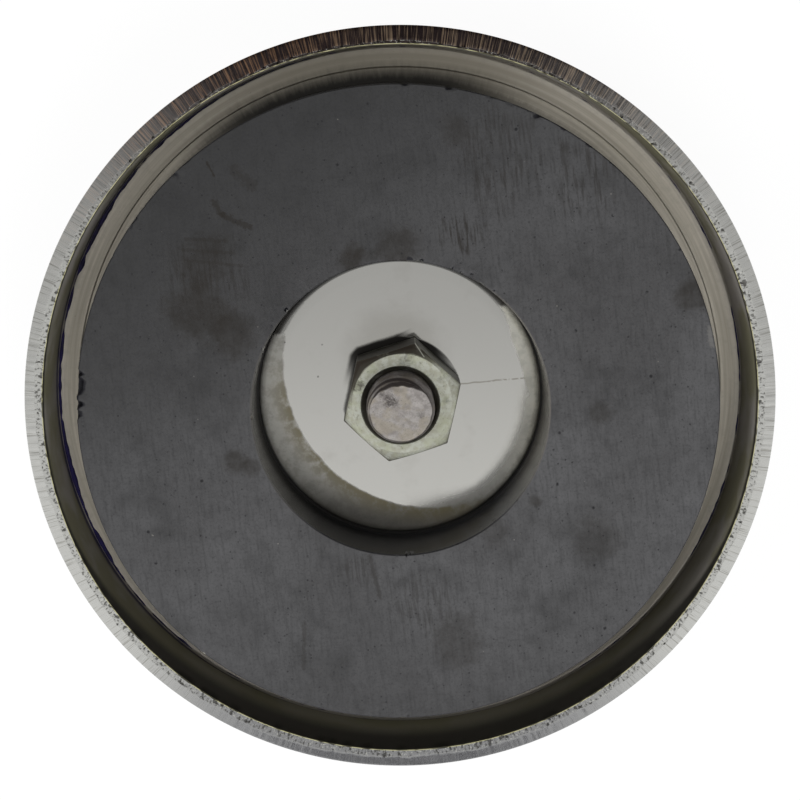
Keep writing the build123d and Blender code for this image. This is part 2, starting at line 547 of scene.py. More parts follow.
@dataclass(frozen=True)
class PlatedSheet:
    """Plated pressed steel: mirror boss, dull channel, sheared rim and satin outside."""

    rim: float
    floor: float
    inner_radius: float
    mark_radius: float
    boss_foot: float
    boss_colour: Colour = (0.53, 0.525, 0.50)
    haze_colour: Colour = (0.31, 0.305, 0.28)
    # Painted light and shade on the boss's hazy border: the light colour toward +X, the dark one
    # toward -Y and in its mottle.
    haze_painted_light: Colour = (0.46, 0.45, 0.39)
    haze_mottle_and_shade: Colour = (0.075, 0.07, 0.06)
    floor_colour: Colour = (0.56, 0.52, 0.445)
    floor_dull: Colour = (0.37, 0.34, 0.285)
    wall_colour: Colour = (0.34, 0.32, 0.30)
    wall_olive: Colour = (0.22, 0.21, 0.13)
    bevel_colour: Colour = (0.58, 0.58, 0.56)
    bevel_dull: Colour = (0.36, 0.355, 0.33)
    # Painted shade: the rim's colour toward -Y.
    bevel_painted_shade: Colour = (0.30, 0.30, 0.305)
    # Toward +Y the rim is brown tarnish in streaks with painted dark reflection between them,
    # black on the flat.
    tarnish_pale: Colour = (0.36, 0.27, 0.19)
    tarnish_brown: Colour = (0.30, 0.175, 0.105)
    tarnish_and_reflection_dark: Colour = (0.045, 0.033, 0.034)
    crumb_colour: Colour = (0.70, 0.70, 0.64)
    # Painted highlight along the rim's inner edge.
    edge_highlight: Colour = (0.70, 0.67, 0.40)
    outside_colour: Colour = (0.52, 0.52, 0.50)
    dirt_colour: Colour = (0.045, 0.042, 0.035)
    # Painted shade: near-black laid in the slit round the boss, at the boss's foot toward -Y,
    # under the rim, beside the ferrite toward +Y, and as the nut's painted reflection and shadow
    # on the boss.
    painted_shade_black: Colour = (0.010, 0.009, 0.008)
    # Painted reflection: navy at the wall's foot.
    navy_reflection: Colour = (0.012, 0.007, 0.062)
    olive_stain: Colour = (0.12, 0.10, 0.045)
    # Brown laid for the boss's smudges and crease and the channel's brown toward +Y, and as
    # painted shade in the halo by the nut.
    brown_stain_and_shade: Colour = (0.16, 0.14, 0.10)
    boss_centre: Pair = (0.0, -0.3)
    ring_centre: Pair = (-0.2, -0.25)
    ring_radius: float = 36.85
    mirror_centre: Pair = (3.83, 3.73)
    mirror_radius: float = 17.67
    mirror_rough: float = 0.05
    nut_centre: Pair = (0.22, -0.2)
    nut_flats: float = 12.4
    nut_turn: float = 17.6
    arc_radius: float = 7.0
    lined_set_out: float = 2.1
    strip_edge: float = 15.4
    rim_shade_reach: Pair = (1.9, 9.5)
    navy_reach: Pair = (0.8, 2.0)
    clean_top: Pair = (6.9, 10.3)
    seam_start: Pair = (6.9, 1.08)
    seam_end: Pair = (15.3, 1.85)
    seam_width: float = 0.15
    shade_halo_centre: Pair = (-0.6, 4.2)
    shade_halo_radius: float = 5.6
    flecks: tuple[Pair, ...] = ((-9.26, 5.83), (-9.76, 1.97), (-10.65, 13.4), (-13.7, 6.1))

    def seam(self, g: Graph) -> Socket:
        """The faint crease in the boss's plating beside the nut: 1 on it, 0 off it."""
        far, off, run = g.along(self.seam_start, self.seam_end)
        sway = g.less(g.noise(g.place, 0.6, 1.0), 0.5)
        off = g.math("ABSOLUTE", g.scaled(sway, 0.35, off))
        line = g.times(g.rise(off, self.seam_width, 0.02), g.rise(far, -0.2, 0.2))
        broken = g.rise(g.noise(g.place, 2.4, 2.0), 0.40, 0.52)
        late = g.level(g.rise(far, 3.0, 4.5), 1.0, broken)
        return g.times(g.times(line, late), g.rise(far, run, run - 0.6))

    def haze(self, g: Graph, cloud: Socket) -> tuple[Socket, Socket]:
        """Where the boss's border has lost its mirror, and the distance that its stain follows.

        The mirror is a circle set off the boss's axis. Its edge is crisp but for the lower right,
        where it wears away softly. A straight edge cuts off a strip on the right, the shoulder
        there is hazy too, and no haze reaches the upper side.

        Args:
            g: The material's nodes.
            cloud: Noise with features of a few millimetres.

        Returns:
            The mask and the distance outside the mirror's circle.
        """
        sway = g.less(cloud, 0.5)
        edge = g.scaled(sway, 0.45, g.radius(self.mirror_centre))
        edge = g.less(edge, self.mirror_radius)
        soft = g.rise(g.scaled(g.x, 0.75, g.times(g.y, -0.65)), 8.0, 15.0)
        haze = g.level(soft, g.rise(edge, -0.1, 0.25), g.rise(edge, -2.6, 0.4))
        strip = g.less(g.scaled(g.y, 0.32, g.scaled(sway, 0.8, g.x)), self.strip_edge)
        haze = g.larger(haze, g.rise(strip, -0.2, 0.2, 0.75))
        from_foot = g.less(g.radius(self.boss_centre), self.boss_foot)
        shoulder = g.times(g.rise(from_foot, -1.15, -0.8), g.rise(g.x, -2.0, 6.0))
        worn = g.times(g.rise(g.x, 1.0, 8.0), g.rise(g.y, 2.5, -1.5))
        worn = g.times(g.rise(from_foot, -3.45, -0.55, 0.9), worn)
        haze = g.larger(g.larger(haze, shoulder), worn)
        top = g.level(g.rise(g.x, -2.0, 2.0), *self.clean_top)
        over = g.less(g.math("ADD", sway, g.y), top)
        return g.times(haze, g.rise(over, 0.35, -0.25)), edge

    def nut_reflection_shade(self, g: Graph, cloud: Socket) -> Socket:
        """A painted reflection and shadow of the nut on the boss: dark and soft close round the
        nut, widest on its upper side.
        """
        off = g.off_hexagon(self.nut_centre, self.nut_flats, self.nut_turn)
        round_off = g.less(g.radius(self.nut_centre), self.nut_flats * 0.56)
        off = g.larger(off, round_off)
        off = g.scaled(g.less(cloud, 0.5), 0.3, off)
        upper = g.rise(g.toward(95.0), 0.15, 0.75)
        wide = g.level(upper, g.rise(off, 0.42, 0.0), g.rise(off, 1.15, 0.60))
        arc = g.rise(g.radius(self.nut_centre), self.arc_radius + 0.12, self.arc_radius - 0.12)
        wide = g.math("MINIMUM", wide, g.level(g.rise(g.toward(40.0), 0.55, 0.80), 1.0, arc))
        return g.times(wide, g.level(upper, 0.75, 0.96))

    def boss(self, g: Graph, cloud: Socket, broad: Socket) -> tuple[Socket, Socket, Socket]:
        """The boss: a mirror whose border is bloomed, stained and hazy, with painted light and
        shade.

        Args:
            g: The material's nodes.
            cloud: Noise with features of a few millimetres.
            broad: Noise with features of about ten millimetres.

        Returns:
            Its colour, its roughness and how much of it is bloomed.
        """
        haze, edge = self.haze(g, cloud)
        mottle = g.noise(g.place, 0.9, 4.0, 0.65)
        ragged_edge = g.scaled(g.less(mottle, 0.5), 1.6, edge)
        near = g.times(g.rise(ragged_edge, 3.0, -0.2), g.rise(edge, -0.2, 0.35))
        near = g.times(near, g.rise(g.toward(238.0), 0.15, 0.65))
        olive = g.times(g.rise(mottle, 0.26, 0.58), g.times(haze, near))
        # Painted shade: a soft brown halo on the boss to the nut's upper left.
        shade_halo = g.spot(self.shade_halo_centre, self.shade_halo_radius, g.times(cloud, 0.5))
        smudge = g.rise(g.noise(g.place, 0.22, 3.0, 0.6), 0.55, 0.8, 0.12)
        # Painted light and shade: the hazy border is lighter toward +X and darker toward -Y; the
        # mottle is the haze's own.
        veil = g.layers(
            self.haze_colour,
            (g.rise(g.toward(20.0), 0.2, 0.9), self.haze_painted_light),
            (g.rise(g.y, -8.5, -16.0, 0.75), self.haze_mottle_and_shade),
            (g.rise(mottle, 0.42, 0.62, 0.30), self.haze_mottle_and_shade),
        )
        speck = g.times(g.noise(g.place, 3.0), 1.2)
        flecks = [(g.times(g.spot(at, 0.16, speck), 0.6), self.dirt_colour) for at in self.flecks]
        # Painted shade: the boss's foot darkens toward -Y.
        foot = g.less(g.radius(self.boss_centre), self.boss_foot)
        foot = g.times(g.rise(foot, -0.5, 0.0, 0.75), g.rise(g.toward(260.0), -0.1, 0.6))
        nut_reflection_shade = self.nut_reflection_shade(g, cloud)
        colour = g.layers(
            self.boss_colour,
            (haze, veil),
            (g.times(olive, 0.85), self.olive_stain),
            (g.times(shade_halo, 0.22), self.brown_stain_and_shade),
            (smudge, self.brown_stain_and_shade),
            (g.times(self.seam(g), 0.55), self.brown_stain_and_shade),
            *flecks,
            (foot, self.painted_shade_black),
            # Painted reflection and shadow of the nut, laid near-black round it.
            (nut_reflection_shade, self.painted_shade_black),
        )
        mirror = g.level(broad, self.mirror_rough, self.mirror_rough + 0.04)
        rough = g.level(haze, mirror, g.level(mottle, 0.34, 0.55))
        rough = g.level(nut_reflection_shade, rough, 0.4)
        return colour, rough, haze

    def slit_shade(self, g: Graph) -> Socket:
        """The slit between the boss's foot and the ferrite, painted black as shade: 1 in it, 0
        outside it.
        """
        off = g.less(g.radius(self.boss_centre), self.boss_foot)
        return g.times(g.rise(off, -0.07, 0.03), g.rise(off, 1.65, 1.15))

    def channel(self, g: Graph, grain: Socket, strokes: Socket) -> Socket:
        """The channel's floor: faint rings, one fine draw line, residue and painted shade beside
        the ferrite.
        """
        rings = g.noise(g.joined(g.radius(), g.times(g.y, 0.03), 0.0), 1.3, 3.0, 0.6)
        streak = g.noise(g.spokes(39.0, 1.0), 0.9, 3.0, 0.6)
        edge = g.less(g.scaled(streak, 1.1, g.radius()), self.inner_radius)
        off_line = g.math("ABSOLUTE", g.less(g.radius(), self.mark_radius))
        away = g.less(g.scaled(strokes, 0.9, g.radius(self.ring_centre)), self.ring_radius)
        # Painted shade: black on the floor beside the ferrite toward +Y. The thinner dark band
        # toward +Y is residue.
        ring_shade = g.times(g.rise(away, 3.35, 0.75), g.rise(g.toward(100.0), 0.80, 0.97))
        thin = g.times(g.rise(away, 1.35, 0.75, 0.4), g.rise(g.toward(105.0), 0.3, 0.9))
        return g.layers(
            self.floor_dull,
            (g.rise(rings, 0.30, 0.70), self.floor_colour),
            (g.rise(streak, 0.5, 0.72, 0.35), self.floor_dull),
            (g.rise(grain, 0.32, 0.22, 0.5), self.dirt_colour),
            (g.rise(edge, -0.55, 0.3, 0.3), self.wall_colour),
            (g.rise(off_line, 0.08, 0.03, 0.4), self.dirt_colour),
            (g.rise(g.toward(95.0), 0.80, 1.0, 0.45), self.brown_stain_and_shade),
            (thin, self.dirt_colour),
            (g.times(ring_shade, 0.95), self.painted_shade_black),
        )

    def inner_wall(self, g: Graph, broad: Socket, strokes: Socket) -> Socket:
        """The cup's wall: olive and dull, with painted shade black under the rim and a painted
        navy reflection at its foot.
        """
        low = g.rise(g.toward(270.0), 0.3, 0.95)
        # Painted shade: black under the rim, reaching further down toward -Y.
        below = g.scaled(strokes, 0.4, g.less(self.rim, g.z))
        below = g.math("DIVIDE", below, g.level(low, *self.rim_shade_reach))
        # Painted reflection: a navy band at the wall's foot, reaching higher toward -X.
        above = g.scaled(strokes, 0.5, g.less(g.z, self.floor))
        left = g.rise(g.toward(172.0), 0.2, 0.85)
        above = g.math("DIVIDE", above, g.level(left, *self.navy_reach))
        return g.layers(
            self.wall_colour,
            (g.rise(broad, 0.40, 0.60), self.wall_olive),
            (g.times(low, 0.7), self.wall_olive),
            (g.rise(below, 1.0, 0.45, 0.96), self.painted_shade_black),
            (g.rise(above, 1.1, 0.55, 0.92), self.navy_reflection),
        )

    def sheared_rim(self, g: Graph) -> tuple[Socket, Socket, Socket]:
        """The rim: finely lined bevel and torn flat; toward +Y, brown tarnish streaks with painted
        dark reflection, black on the flat.

        Args:
            g: The material's nodes.

        Returns:
            The bevel's colour, the flat's colour and the fine lines.
        """
        reach = self.inner_radius + self.lined_set_out
        lines = g.noise(g.spokes(reach, 0.05), 6.5, 2.0, 0.55)
        tear = g.noise(g.spokes(reach, 0.55), 4.2, 3.0, 0.65)
        crumbs = g.noise(g.spokes(reach, 0.9), 5.5, 2.0, 0.6)
        # Painted shade: the rim's bevel and flat are darker toward -Y.
        low = g.rise(g.toward(270.0), 0.62, 0.95)
        # Toward +Y: brown tarnish streaks with painted dark reflection between them, black on the
        # flat.
        tarnish_and_reflection = g.kept("tarnish_and_reflection")
        pale = g.rise(g.toward(130.0), 0.78, 0.97)
        pale = g.blend(pale, self.tarnish_pale, self.tarnish_brown)
        brown = g.blend(g.rise(lines, 0.46, 0.70), self.tarnish_and_reflection_dark, pale)
        torn = g.larger(g.rise(tear, 0.53, 0.60), g.rise(g.kept("pits"), 0.3, 0.7))
        bevel = g.layers(
            self.bevel_dull,
            (g.rise(lines, 0.30, 0.46), self.bevel_colour),
            (low, self.bevel_painted_shade),
            (tarnish_and_reflection, brown),
        )
        flat = g.layers(
            self.bevel_colour,
            (low, self.bevel_painted_shade),
            (tarnish_and_reflection, self.tarnish_and_reflection_dark),
            (g.rise(crumbs, 0.55, 0.68, 0.7), self.crumb_colour),
            (g.times(torn, 0.72), self.dirt_colour),
            # Painted highlight: a thin yellowish line along the rim's inner edge.
            (g.rise(g.less(g.radius(), self.inner_radius), 0.12, 0.03), self.edge_highlight),
        )
        return bevel, flat, lines

    def material(self) -> bpy.types.Material:
        """The material, mixed by the zones that the skin's points hold."""
        g = Graph("plated_sheet")
        zone = {kind: g.kept(kind.value) for kind in Zone}
        broad = g.noise(g.place, 0.12, 3.0)
        cloud = g.noise(g.place, 0.45, 4.0, 0.6)
        grain = g.noise(g.place, 3.0, 3.0, 0.6)
        strokes = g.noise(g.spokes(38.0, 0.25), 2.0, 3.0, 0.6)
        boss, boss_rough, haze = self.boss(g, cloud, broad)
        bevel, fracture, lines = self.sheared_rim(g)
        colour = g.layers(
            self.outside_colour,
            (zone[Zone.FLOOR], self.channel(g, grain, strokes)),
            (zone[Zone.WALL], self.inner_wall(g, broad, strokes)),
            (zone[Zone.BEVEL], bevel),
            (zone[Zone.FRACTURE], fracture),
            (zone[Zone.BOSS], boss),
            # Painted shade: the slit round the boss is laid near-black.
            (self.slit_shade(g), self.painted_shade_black),
        )
        rough = g.level(broad, 0.25, 0.36)
        for kind, value in (
            (Zone.FLOOR, 0.34),
            (Zone.WALL, 0.45),
            (Zone.BEVEL, g.level(lines, 0.20, 0.34)),
            (Zone.FRACTURE, 0.45),
            (Zone.BOSS, boss_rough),
        ):
            rough = g.level(zone[kind], rough, value)
        bloomed = g.times(g.times(haze, zone[Zone.BOSS]), 0.75)
        dulled = g.scaled(zone[Zone.WALL], 0.55, bloomed)
        dulled = g.scaled(zone[Zone.FLOOR], 0.4, dulled, clamp=True)
        g.feed(g.shader.inputs["Metallic"], g.less(1.0, dulled))
        g.bump(g.times(lines, zone[Zone.BEVEL]), 0.012)
        even = g.less(1.0, zone[Zone.BOSS])
        g.bump(g.times(grain, even), 0.008)
        return g.finish(colour, rough)


@dataclass(frozen=True)
class Smudge:
    """A dirty patch on the ferrite's face: its middle, its radius and how dark it is."""

    centre: Pair
    size: float
    strength: float


@dataclass(frozen=True)
class Stroke:
    """A dark or pale stroke on the ferrite's face: its ends, half its width and its strength."""

    start: Pair
    end: Pair
    width: float
    strength: float


@dataclass(frozen=True)
class GroundFerrite:
    """Dark grey sintered ferrite with a ground face, pores, smudges and broken edges."""

    face_colour: Colour = (0.060, 0.060, 0.0625)
    dark_colour: Colour = (0.040, 0.0395, 0.041)
    # Darker tone laid for mottle, and as painted shade toward the upper left and -Y on the face
    # and toward -Y in the bore.
    mottle_and_shade_colour: Colour = (0.013, 0.013, 0.0135)
    smudge_colour: Colour = (0.008, 0.006, 0.004)
    pore_colour: Colour = (0.006, 0.006, 0.007)
    pale_fleck: Colour = (0.28, 0.27, 0.24)
    chip_colour: Colour = (0.004, 0.004, 0.006)
    rough: Pair = (0.42, 0.55)
    # Painted reflection: lighter colour on the bore's wall toward +X and -X.
    bore_reflection_colour: Colour = (0.085, 0.08, 0.072)
    bore_rough: float = 0.16
    bore_radius: float = 17.05
    bore_centre: Pair = (0.0, -0.33)
    ferrite_shade_way: float = 125.0
    streaky: tuple[Smudge, ...] = (
        Smudge((6.5, 19.8), 3.0, 0.70),
        Smudge((20.6, 26.0), 5.0, 0.45),
        Smudge((11.4, 29.0), 6.0, 0.35),
        Smudge((10.6, 24.4), 4.0, 0.30),
        Smudge((-21.9, 15.5), 5.5, 0.40),
        Smudge((-4.8, -19.4), 2.6, 0.35),
        Smudge((2.3, -22.6), 4.5, 0.30),
    )
    plain: tuple[Smudge, ...] = (
        Smudge((-22.8, 10.6), 4.2, 0.60),
        Smudge((-19.0, 8.6), 3.2, 0.55),
        Smudge((-21.9, 17.0), 3.6, 0.45),
        Smudge((-0.1, 18.0), 3.2, 0.55),
        Smudge((-5.4, 16.9), 1.9, 0.75),
        Smudge((6.0, 31.6), 2.2, 0.40),
        Smudge((33.5, 13.0), 2.6, 0.65),
        Smudge((22.9, -0.8), 1.7, 0.45),
        Smudge((-19.0, -6.5), 1.7, 0.60),
        Smudge((-17.2, -7.1), 1.3, 0.55),
        Smudge((15.6, -11.1), 0.9, 0.60),
        Smudge((10.9, -14.4), 2.0, 0.35),
        Smudge((6.7, -27.4), 3.8, 0.40),
        Smudge((22.8, -15.6), 3.4, 0.32),
    )
    scratches: tuple[Stroke, ...] = (
        Stroke((-21.7, 27.8), (-20.9, 26.3), 0.16, 0.8),
        Stroke((-21.1, 23.5), (-20.0, 21.9), 0.38, 0.6),
        Stroke((-20.0, 21.9), (-16.9, 20.5), 0.42, 0.6),
        Stroke((-18.7, 27.0), (-16.7, 25.2), 0.75, 0.35),
        Stroke((-24.2, 19.2), (-19.6, 19.0), 0.24, 0.35),
        Stroke((-24.6, 18.0), (-18.8, 17.6), 0.26, 0.35),
        Stroke((-24.0, 16.8), (-18.0, 16.2), 0.22, 0.35),
        Stroke((-11.2, -25.6), (-11.3, -31.0), 0.30, 0.35),
        Stroke((-3.6, -17.6), (-2.4, -22.4), 0.30, 0.40),
    )
    edge_damage: tuple[Stroke, ...] = (
        Stroke((-36.95, 4.6), (-37.0, -1.2), 0.26, 1.0),
        Stroke((17.9, 31.9), (18.3, 31.5), 0.25, 1.0),
        Stroke((20.9, 29.9), (21.4, 29.6), 0.25, 1.0),
        Stroke((23.7, 27.9), (24.2, 27.6), 0.30, 1.0),
        Stroke((36.3, 5.0), (36.4, 4.4), 0.20, 1.0),
    )
    pale_marks: tuple[Stroke, ...] = (
        Stroke((20.3, -31.2), (20.7, -31.0), 0.18, 0.7),
        Stroke((-23.4, -29.0), (-23.0, -29.3), 0.18, 0.7),
        Stroke((3.6, -16.55), (3.75, -16.6), 0.10, 0.8),
        Stroke((35.2, 8.9), (35.5, 7.2), 0.45, 0.12),
    )

    def ground(self, g: Graph, cloud: Socket, grain: Socket, strokes: Socket) -> Socket:
        """The clean face: mottled and streaked, with painted shade darker toward the upper left
        and toward -Y.
        """
        broad = g.noise(g.place, 0.05, 4.0, 0.55)
        # Painted shade toward the upper left and toward -Y; the other masks are mottle.
        way = radians(self.ferrite_shade_way)
        lean = g.scaled(g.x, cos(way), g.times(g.y, sin(way)))
        mottle_and_shade_masks = (
            g.rise(g.scaled(broad, 12.0, lean), 0.0, 45.0, 0.85),
            g.rise(g.y, -10.0, -36.0, 0.25),
            g.rise(cloud, 0.35, 0.75, 0.22),
            g.rise(strokes, 0.45, 0.75, 0.35),
            g.rise(g.noise(g.place, 0.16, 3.0, 0.6), 0.48, 0.72, 0.4),
        )
        colour = g.blend(g.rise(broad, 0.3, 0.7), self.dark_colour, self.face_colour)
        colour = g.layers(colour, *((shade, self.mottle_and_shade_colour) for shade in mottle_and_shade_masks))
        return g.blend(g.rise(grain, 0.46, 0.70, 0.32), colour, self.pore_colour)

    def soiled(self, g: Graph, colour: Socket, cloud: Socket, strokes: Socket) -> Socket:
        """A colour under the smudges, some broken up by clouds and some by strokes."""
        edge = g.ragged(0.38, 1.7)
        for patches, broken in (
            (self.plain, g.level(g.rise(cloud, 0.35, 0.6), 0.75, 1.0)),
            (self.streaky, g.rise(strokes, 0.42, 0.66)),
        ):
            for patch in patches:
                mask = g.times(g.spot(patch.centre, patch.size, edge), broken, patch.strength)
                colour = g.blend(mask, colour, self.smudge_colour)
        return colour

    def marked(self, g: Graph, colour: Socket) -> Socket:
        """A colour under the scratches, the broken edges and the pale marks."""
        edge = g.ragged(2.2, 3.4)
        for marks, tint in (
            (self.scratches, self.smudge_colour),
            (self.edge_damage, self.chip_colour),
            (self.pale_marks, self.pale_fleck),
        ):
            for mark in marks:
                mask = g.stroke(mark.start, mark.end, mark.width, edge)
                colour = g.blend(g.times(mask, mark.strength), colour, tint)
        return colour

    def material(self) -> bpy.types.Material:
        """The material: the ground face with its dirt, pores and flecks, and the bore's wall with
        painted shade and reflection.
        """
        g = Graph("ground_ferrite")
        cloud = g.noise(g.place, 0.7, 4.0, 0.65)
        grain = g.noise(g.place, 3.2, 3.0, 0.7)
        leant = g.scaled(g.y, 0.12, g.x)
        lines = g.joined(g.times(leant, 3.0), g.times(g.y, 0.30), g.z)
        strokes = g.noise(lines, 1.0, 3.0, 0.6)
        broad = g.ragged(0.30, 3.2)
        face = self.soiled(g, self.ground(g, cloud, grain, strokes), cloud, strokes)
        fine = g.times(g.rise(g.cells(g.place, 1.15), 0.17, 0.07), g.rise(cloud, 0.42, 0.56))
        few = g.times(g.rise(g.cells(g.place, 0.31), 0.085, 0.03), g.rise(broad, 0.35, 0.6))
        pores = g.larger(g.times(fine, 0.7), few)
        moved = g.vector("ADD", g.place, (7.0, 3.0, 0.0))
        flecks = g.times(g.rise(g.cells(moved, 0.5), 0.055, 0.02), g.rise(broad, 0.5, 0.9))
        bore = g.rise(g.less(g.radius(self.bore_centre), self.bore_radius), 0.25, 0.10)
        # Painted shade on the bore's wall toward -Y, and painted reflection on it toward +X and
        # -X.
        low = g.rise(g.toward(262.0), 0.2, 0.8, 0.7)
        left = g.rise(g.toward(185.0), 0.6, 0.95, 0.5)
        bore_reflection = g.larger(g.rise(g.toward(8.0), 0.55, 0.95), left)
        colour = g.layers(
            self.marked(g, face),
            (pores, self.pore_colour),
            (g.times(flecks, 0.35), self.pale_fleck),
            (g.rise(g.kept("pits"), 0.25, 0.7), self.chip_colour),
            (g.times(bore, low), self.mottle_and_shade_colour),
            (g.times(bore, bore_reflection), self.bore_reflection_colour),
        )
        g.shader.inputs["Specular IOR Level"].default_value = 0.35
        g.bump(strokes, 0.012)
        g.bump(grain, 0.016)
        g.bump(g.less(1.0, pores), 0.03)
        rough = g.level(g.rise(cloud, 0.3, 0.7), *self.rough)
        return g.finish(colour, g.level(bore, rough, self.bore_rough))


@dataclass(frozen=True)
class PlatedFastener:
    """Dulled plating on the bolt and the nut, pitted, stained and dirty in the hollows, with
    painted shade and painted highlights.
    """

    name: str
    bright: Colour
    dull: Colour
    tint: Colour
    dirt_and_shade: Colour
    rough: Pair
    pit_size: float
    pitting: float
    relief: float
    metallic: float
    stains: tuple[Smudge, ...] = ()
    # Pale strokes laid as painted highlights.
    pale_highlights: tuple[Stroke, ...] = ()

    def material(self) -> bpy.types.Material:
        """The material. The points' share of dirt and painted shade darkens hollows with dirt, and
        lays painted shade on the nut's sides and upper chamfer and on the bolt point's upper side.
        """
        g = Graph(self.name)
        cloud = g.noise(g.place, 0.55, 4.0, 0.6)
        mottle = g.noise(g.place, 1.3, 4.0, 0.7)
        grain = g.noise(g.place, 1 / self.pit_size, 3.0, 0.7)
        colour = g.layers(
            self.bright,
            (g.rise(mottle, 0.38, 0.62), self.dull),
            (g.rise(cloud, 0.45, 0.60, 0.6), self.tint),
            (g.rise(grain, 0.42, 0.28, self.pitting), self.dirt_and_shade),
        )
        edge = g.ragged(1.2, 2.6)
        for stain in self.stains:
            mask = g.spot(stain.centre, stain.size, edge)
            mask = g.times(mask, g.level(g.rise(grain, 0.62, 0.42), 0.35, 1.0))
            colour = g.blend(g.times(mask, stain.strength), colour, self.dirt_and_shade)
        dirt_and_shade = g.times(g.kept("dirt_and_shade"), g.rise(cloud, 0.05, 0.45), clamp=True)
        colour = g.blend(dirt_and_shade, colour, self.dirt_and_shade)
        # Painted highlights: pale strokes on the nut's chamfer.
        for highlight in self.pale_highlights:
            mask = g.stroke(highlight.start, highlight.end, highlight.width, g.ragged(2.5, 0.8))
            colour = g.blend(g.times(mask, highlight.strength), colour, self.bright)
        rough = g.level(g.kept("dirt_and_shade"), g.level(grain, *self.rough), 0.5)
        g.bump(grain, self.relief)
        g.shader.inputs["Metallic"].default_value = self.metallic
        return g.finish(colour, rough)


NUT_FINISH = PlatedFastener(
    "plated_nut",
    bright=(0.43, 0.44, 0.385),
    dull=(0.33, 0.33, 0.265),
    tint=(0.37, 0.385, 0.28),
    dirt_and_shade=(0.030, 0.024, 0.018),
    rough=(0.15, 0.28),
    pit_size=0.34,
    pitting=0.4,
    relief=0.008,
    metallic=0.6,
    # A painted highlight along the chamfer's edge.
    pale_highlights=(Stroke((1.72, 6.75), (2.75, 5.25), 0.07, 0.8),),
    stains=(
        Smudge((-4.9, 1.9), 0.75, 0.75),
        Smudge((0.7, 4.8), 0.9, 0.5),
        Smudge((4.8, 2.6), 0.6, 0.35),
        Smudge((5.4, 0.1), 0.5, 0.35),
        Smudge((5.6, -5.15), 0.62, 0.9),
        Smudge((-1.3, -7.25), 0.5, 0.9),
        Smudge((-6.7, -2.4), 0.36, 0.9),
    ),
)

BOLT_FINISH = PlatedFastener(
    "plated_bolt",
    bright=(0.37, 0.35, 0.335),
    dull=(0.27, 0.25, 0.24),
    tint=(0.32, 0.285, 0.225),
    dirt_and_shade=(0.042, 0.035, 0.033),
    rough=(0.28, 0.5),
    pit_size=0.16,
    pitting=0.7,
    relief=0.03,
    metallic=0.7,
    stains=(
        Smudge((-1.25, 0.75), 0.95, 0.85),
        Smudge((-2.0, 1.5), 0.6, 0.5),
        Smudge((2.4, -0.9), 0.5, 0.45),
    ),
)


@dataclass(frozen=True)
class GlueAndPaintedReflection:
    """A dull, uneven finish: dried glue, and the navy bead that paints a reflection at the wall's
    foot.
    """

    name: str
    pale: Colour
    dark: Colour

    def material(self) -> bpy.types.Material:
        """The material."""
        g = Graph(self.name)
        cloud = g.noise(g.place, 0.8, 4.0, 0.6)
        grain = g.noise(g.place, 5.0, 2.0)
        colour = g.blend(g.rise(cloud, 0.35, 0.7), self.dark, self.pale)
        g.bump(grain, 0.04)
        return g.finish(colour, g.level(cloud, 0.45, 0.75))


# ---------------------------------------------------------------- pieces


@dataclass
class Levels:
    """Heights of the solids' main faces above the bolt head's underside, in millimetres."""

    back: float
    rim: float
    ring_base: float
    ring_face: float
    nut_base: float
    nut_top: float
    bolt_end: float

    @classmethod
    def from_solids(cls) -> "Levels":
        """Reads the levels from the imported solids' boxes."""
        back, rim = cls.span("steel_cup")
        ring_base, ring_face = cls.span("ring_magnet")
        nut_base, nut_top = cls.span("hex_nut")
        return cls(
            back, rim, ring_base, ring_face, nut_base, nut_top, cls.span("hex_bolt")[1]
        )

    @staticmethod
    def span(node: str) -> Pair:
        """A solid's lowest and highest level."""
        low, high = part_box(node)
        return low[2] / MM, high[2] / MM


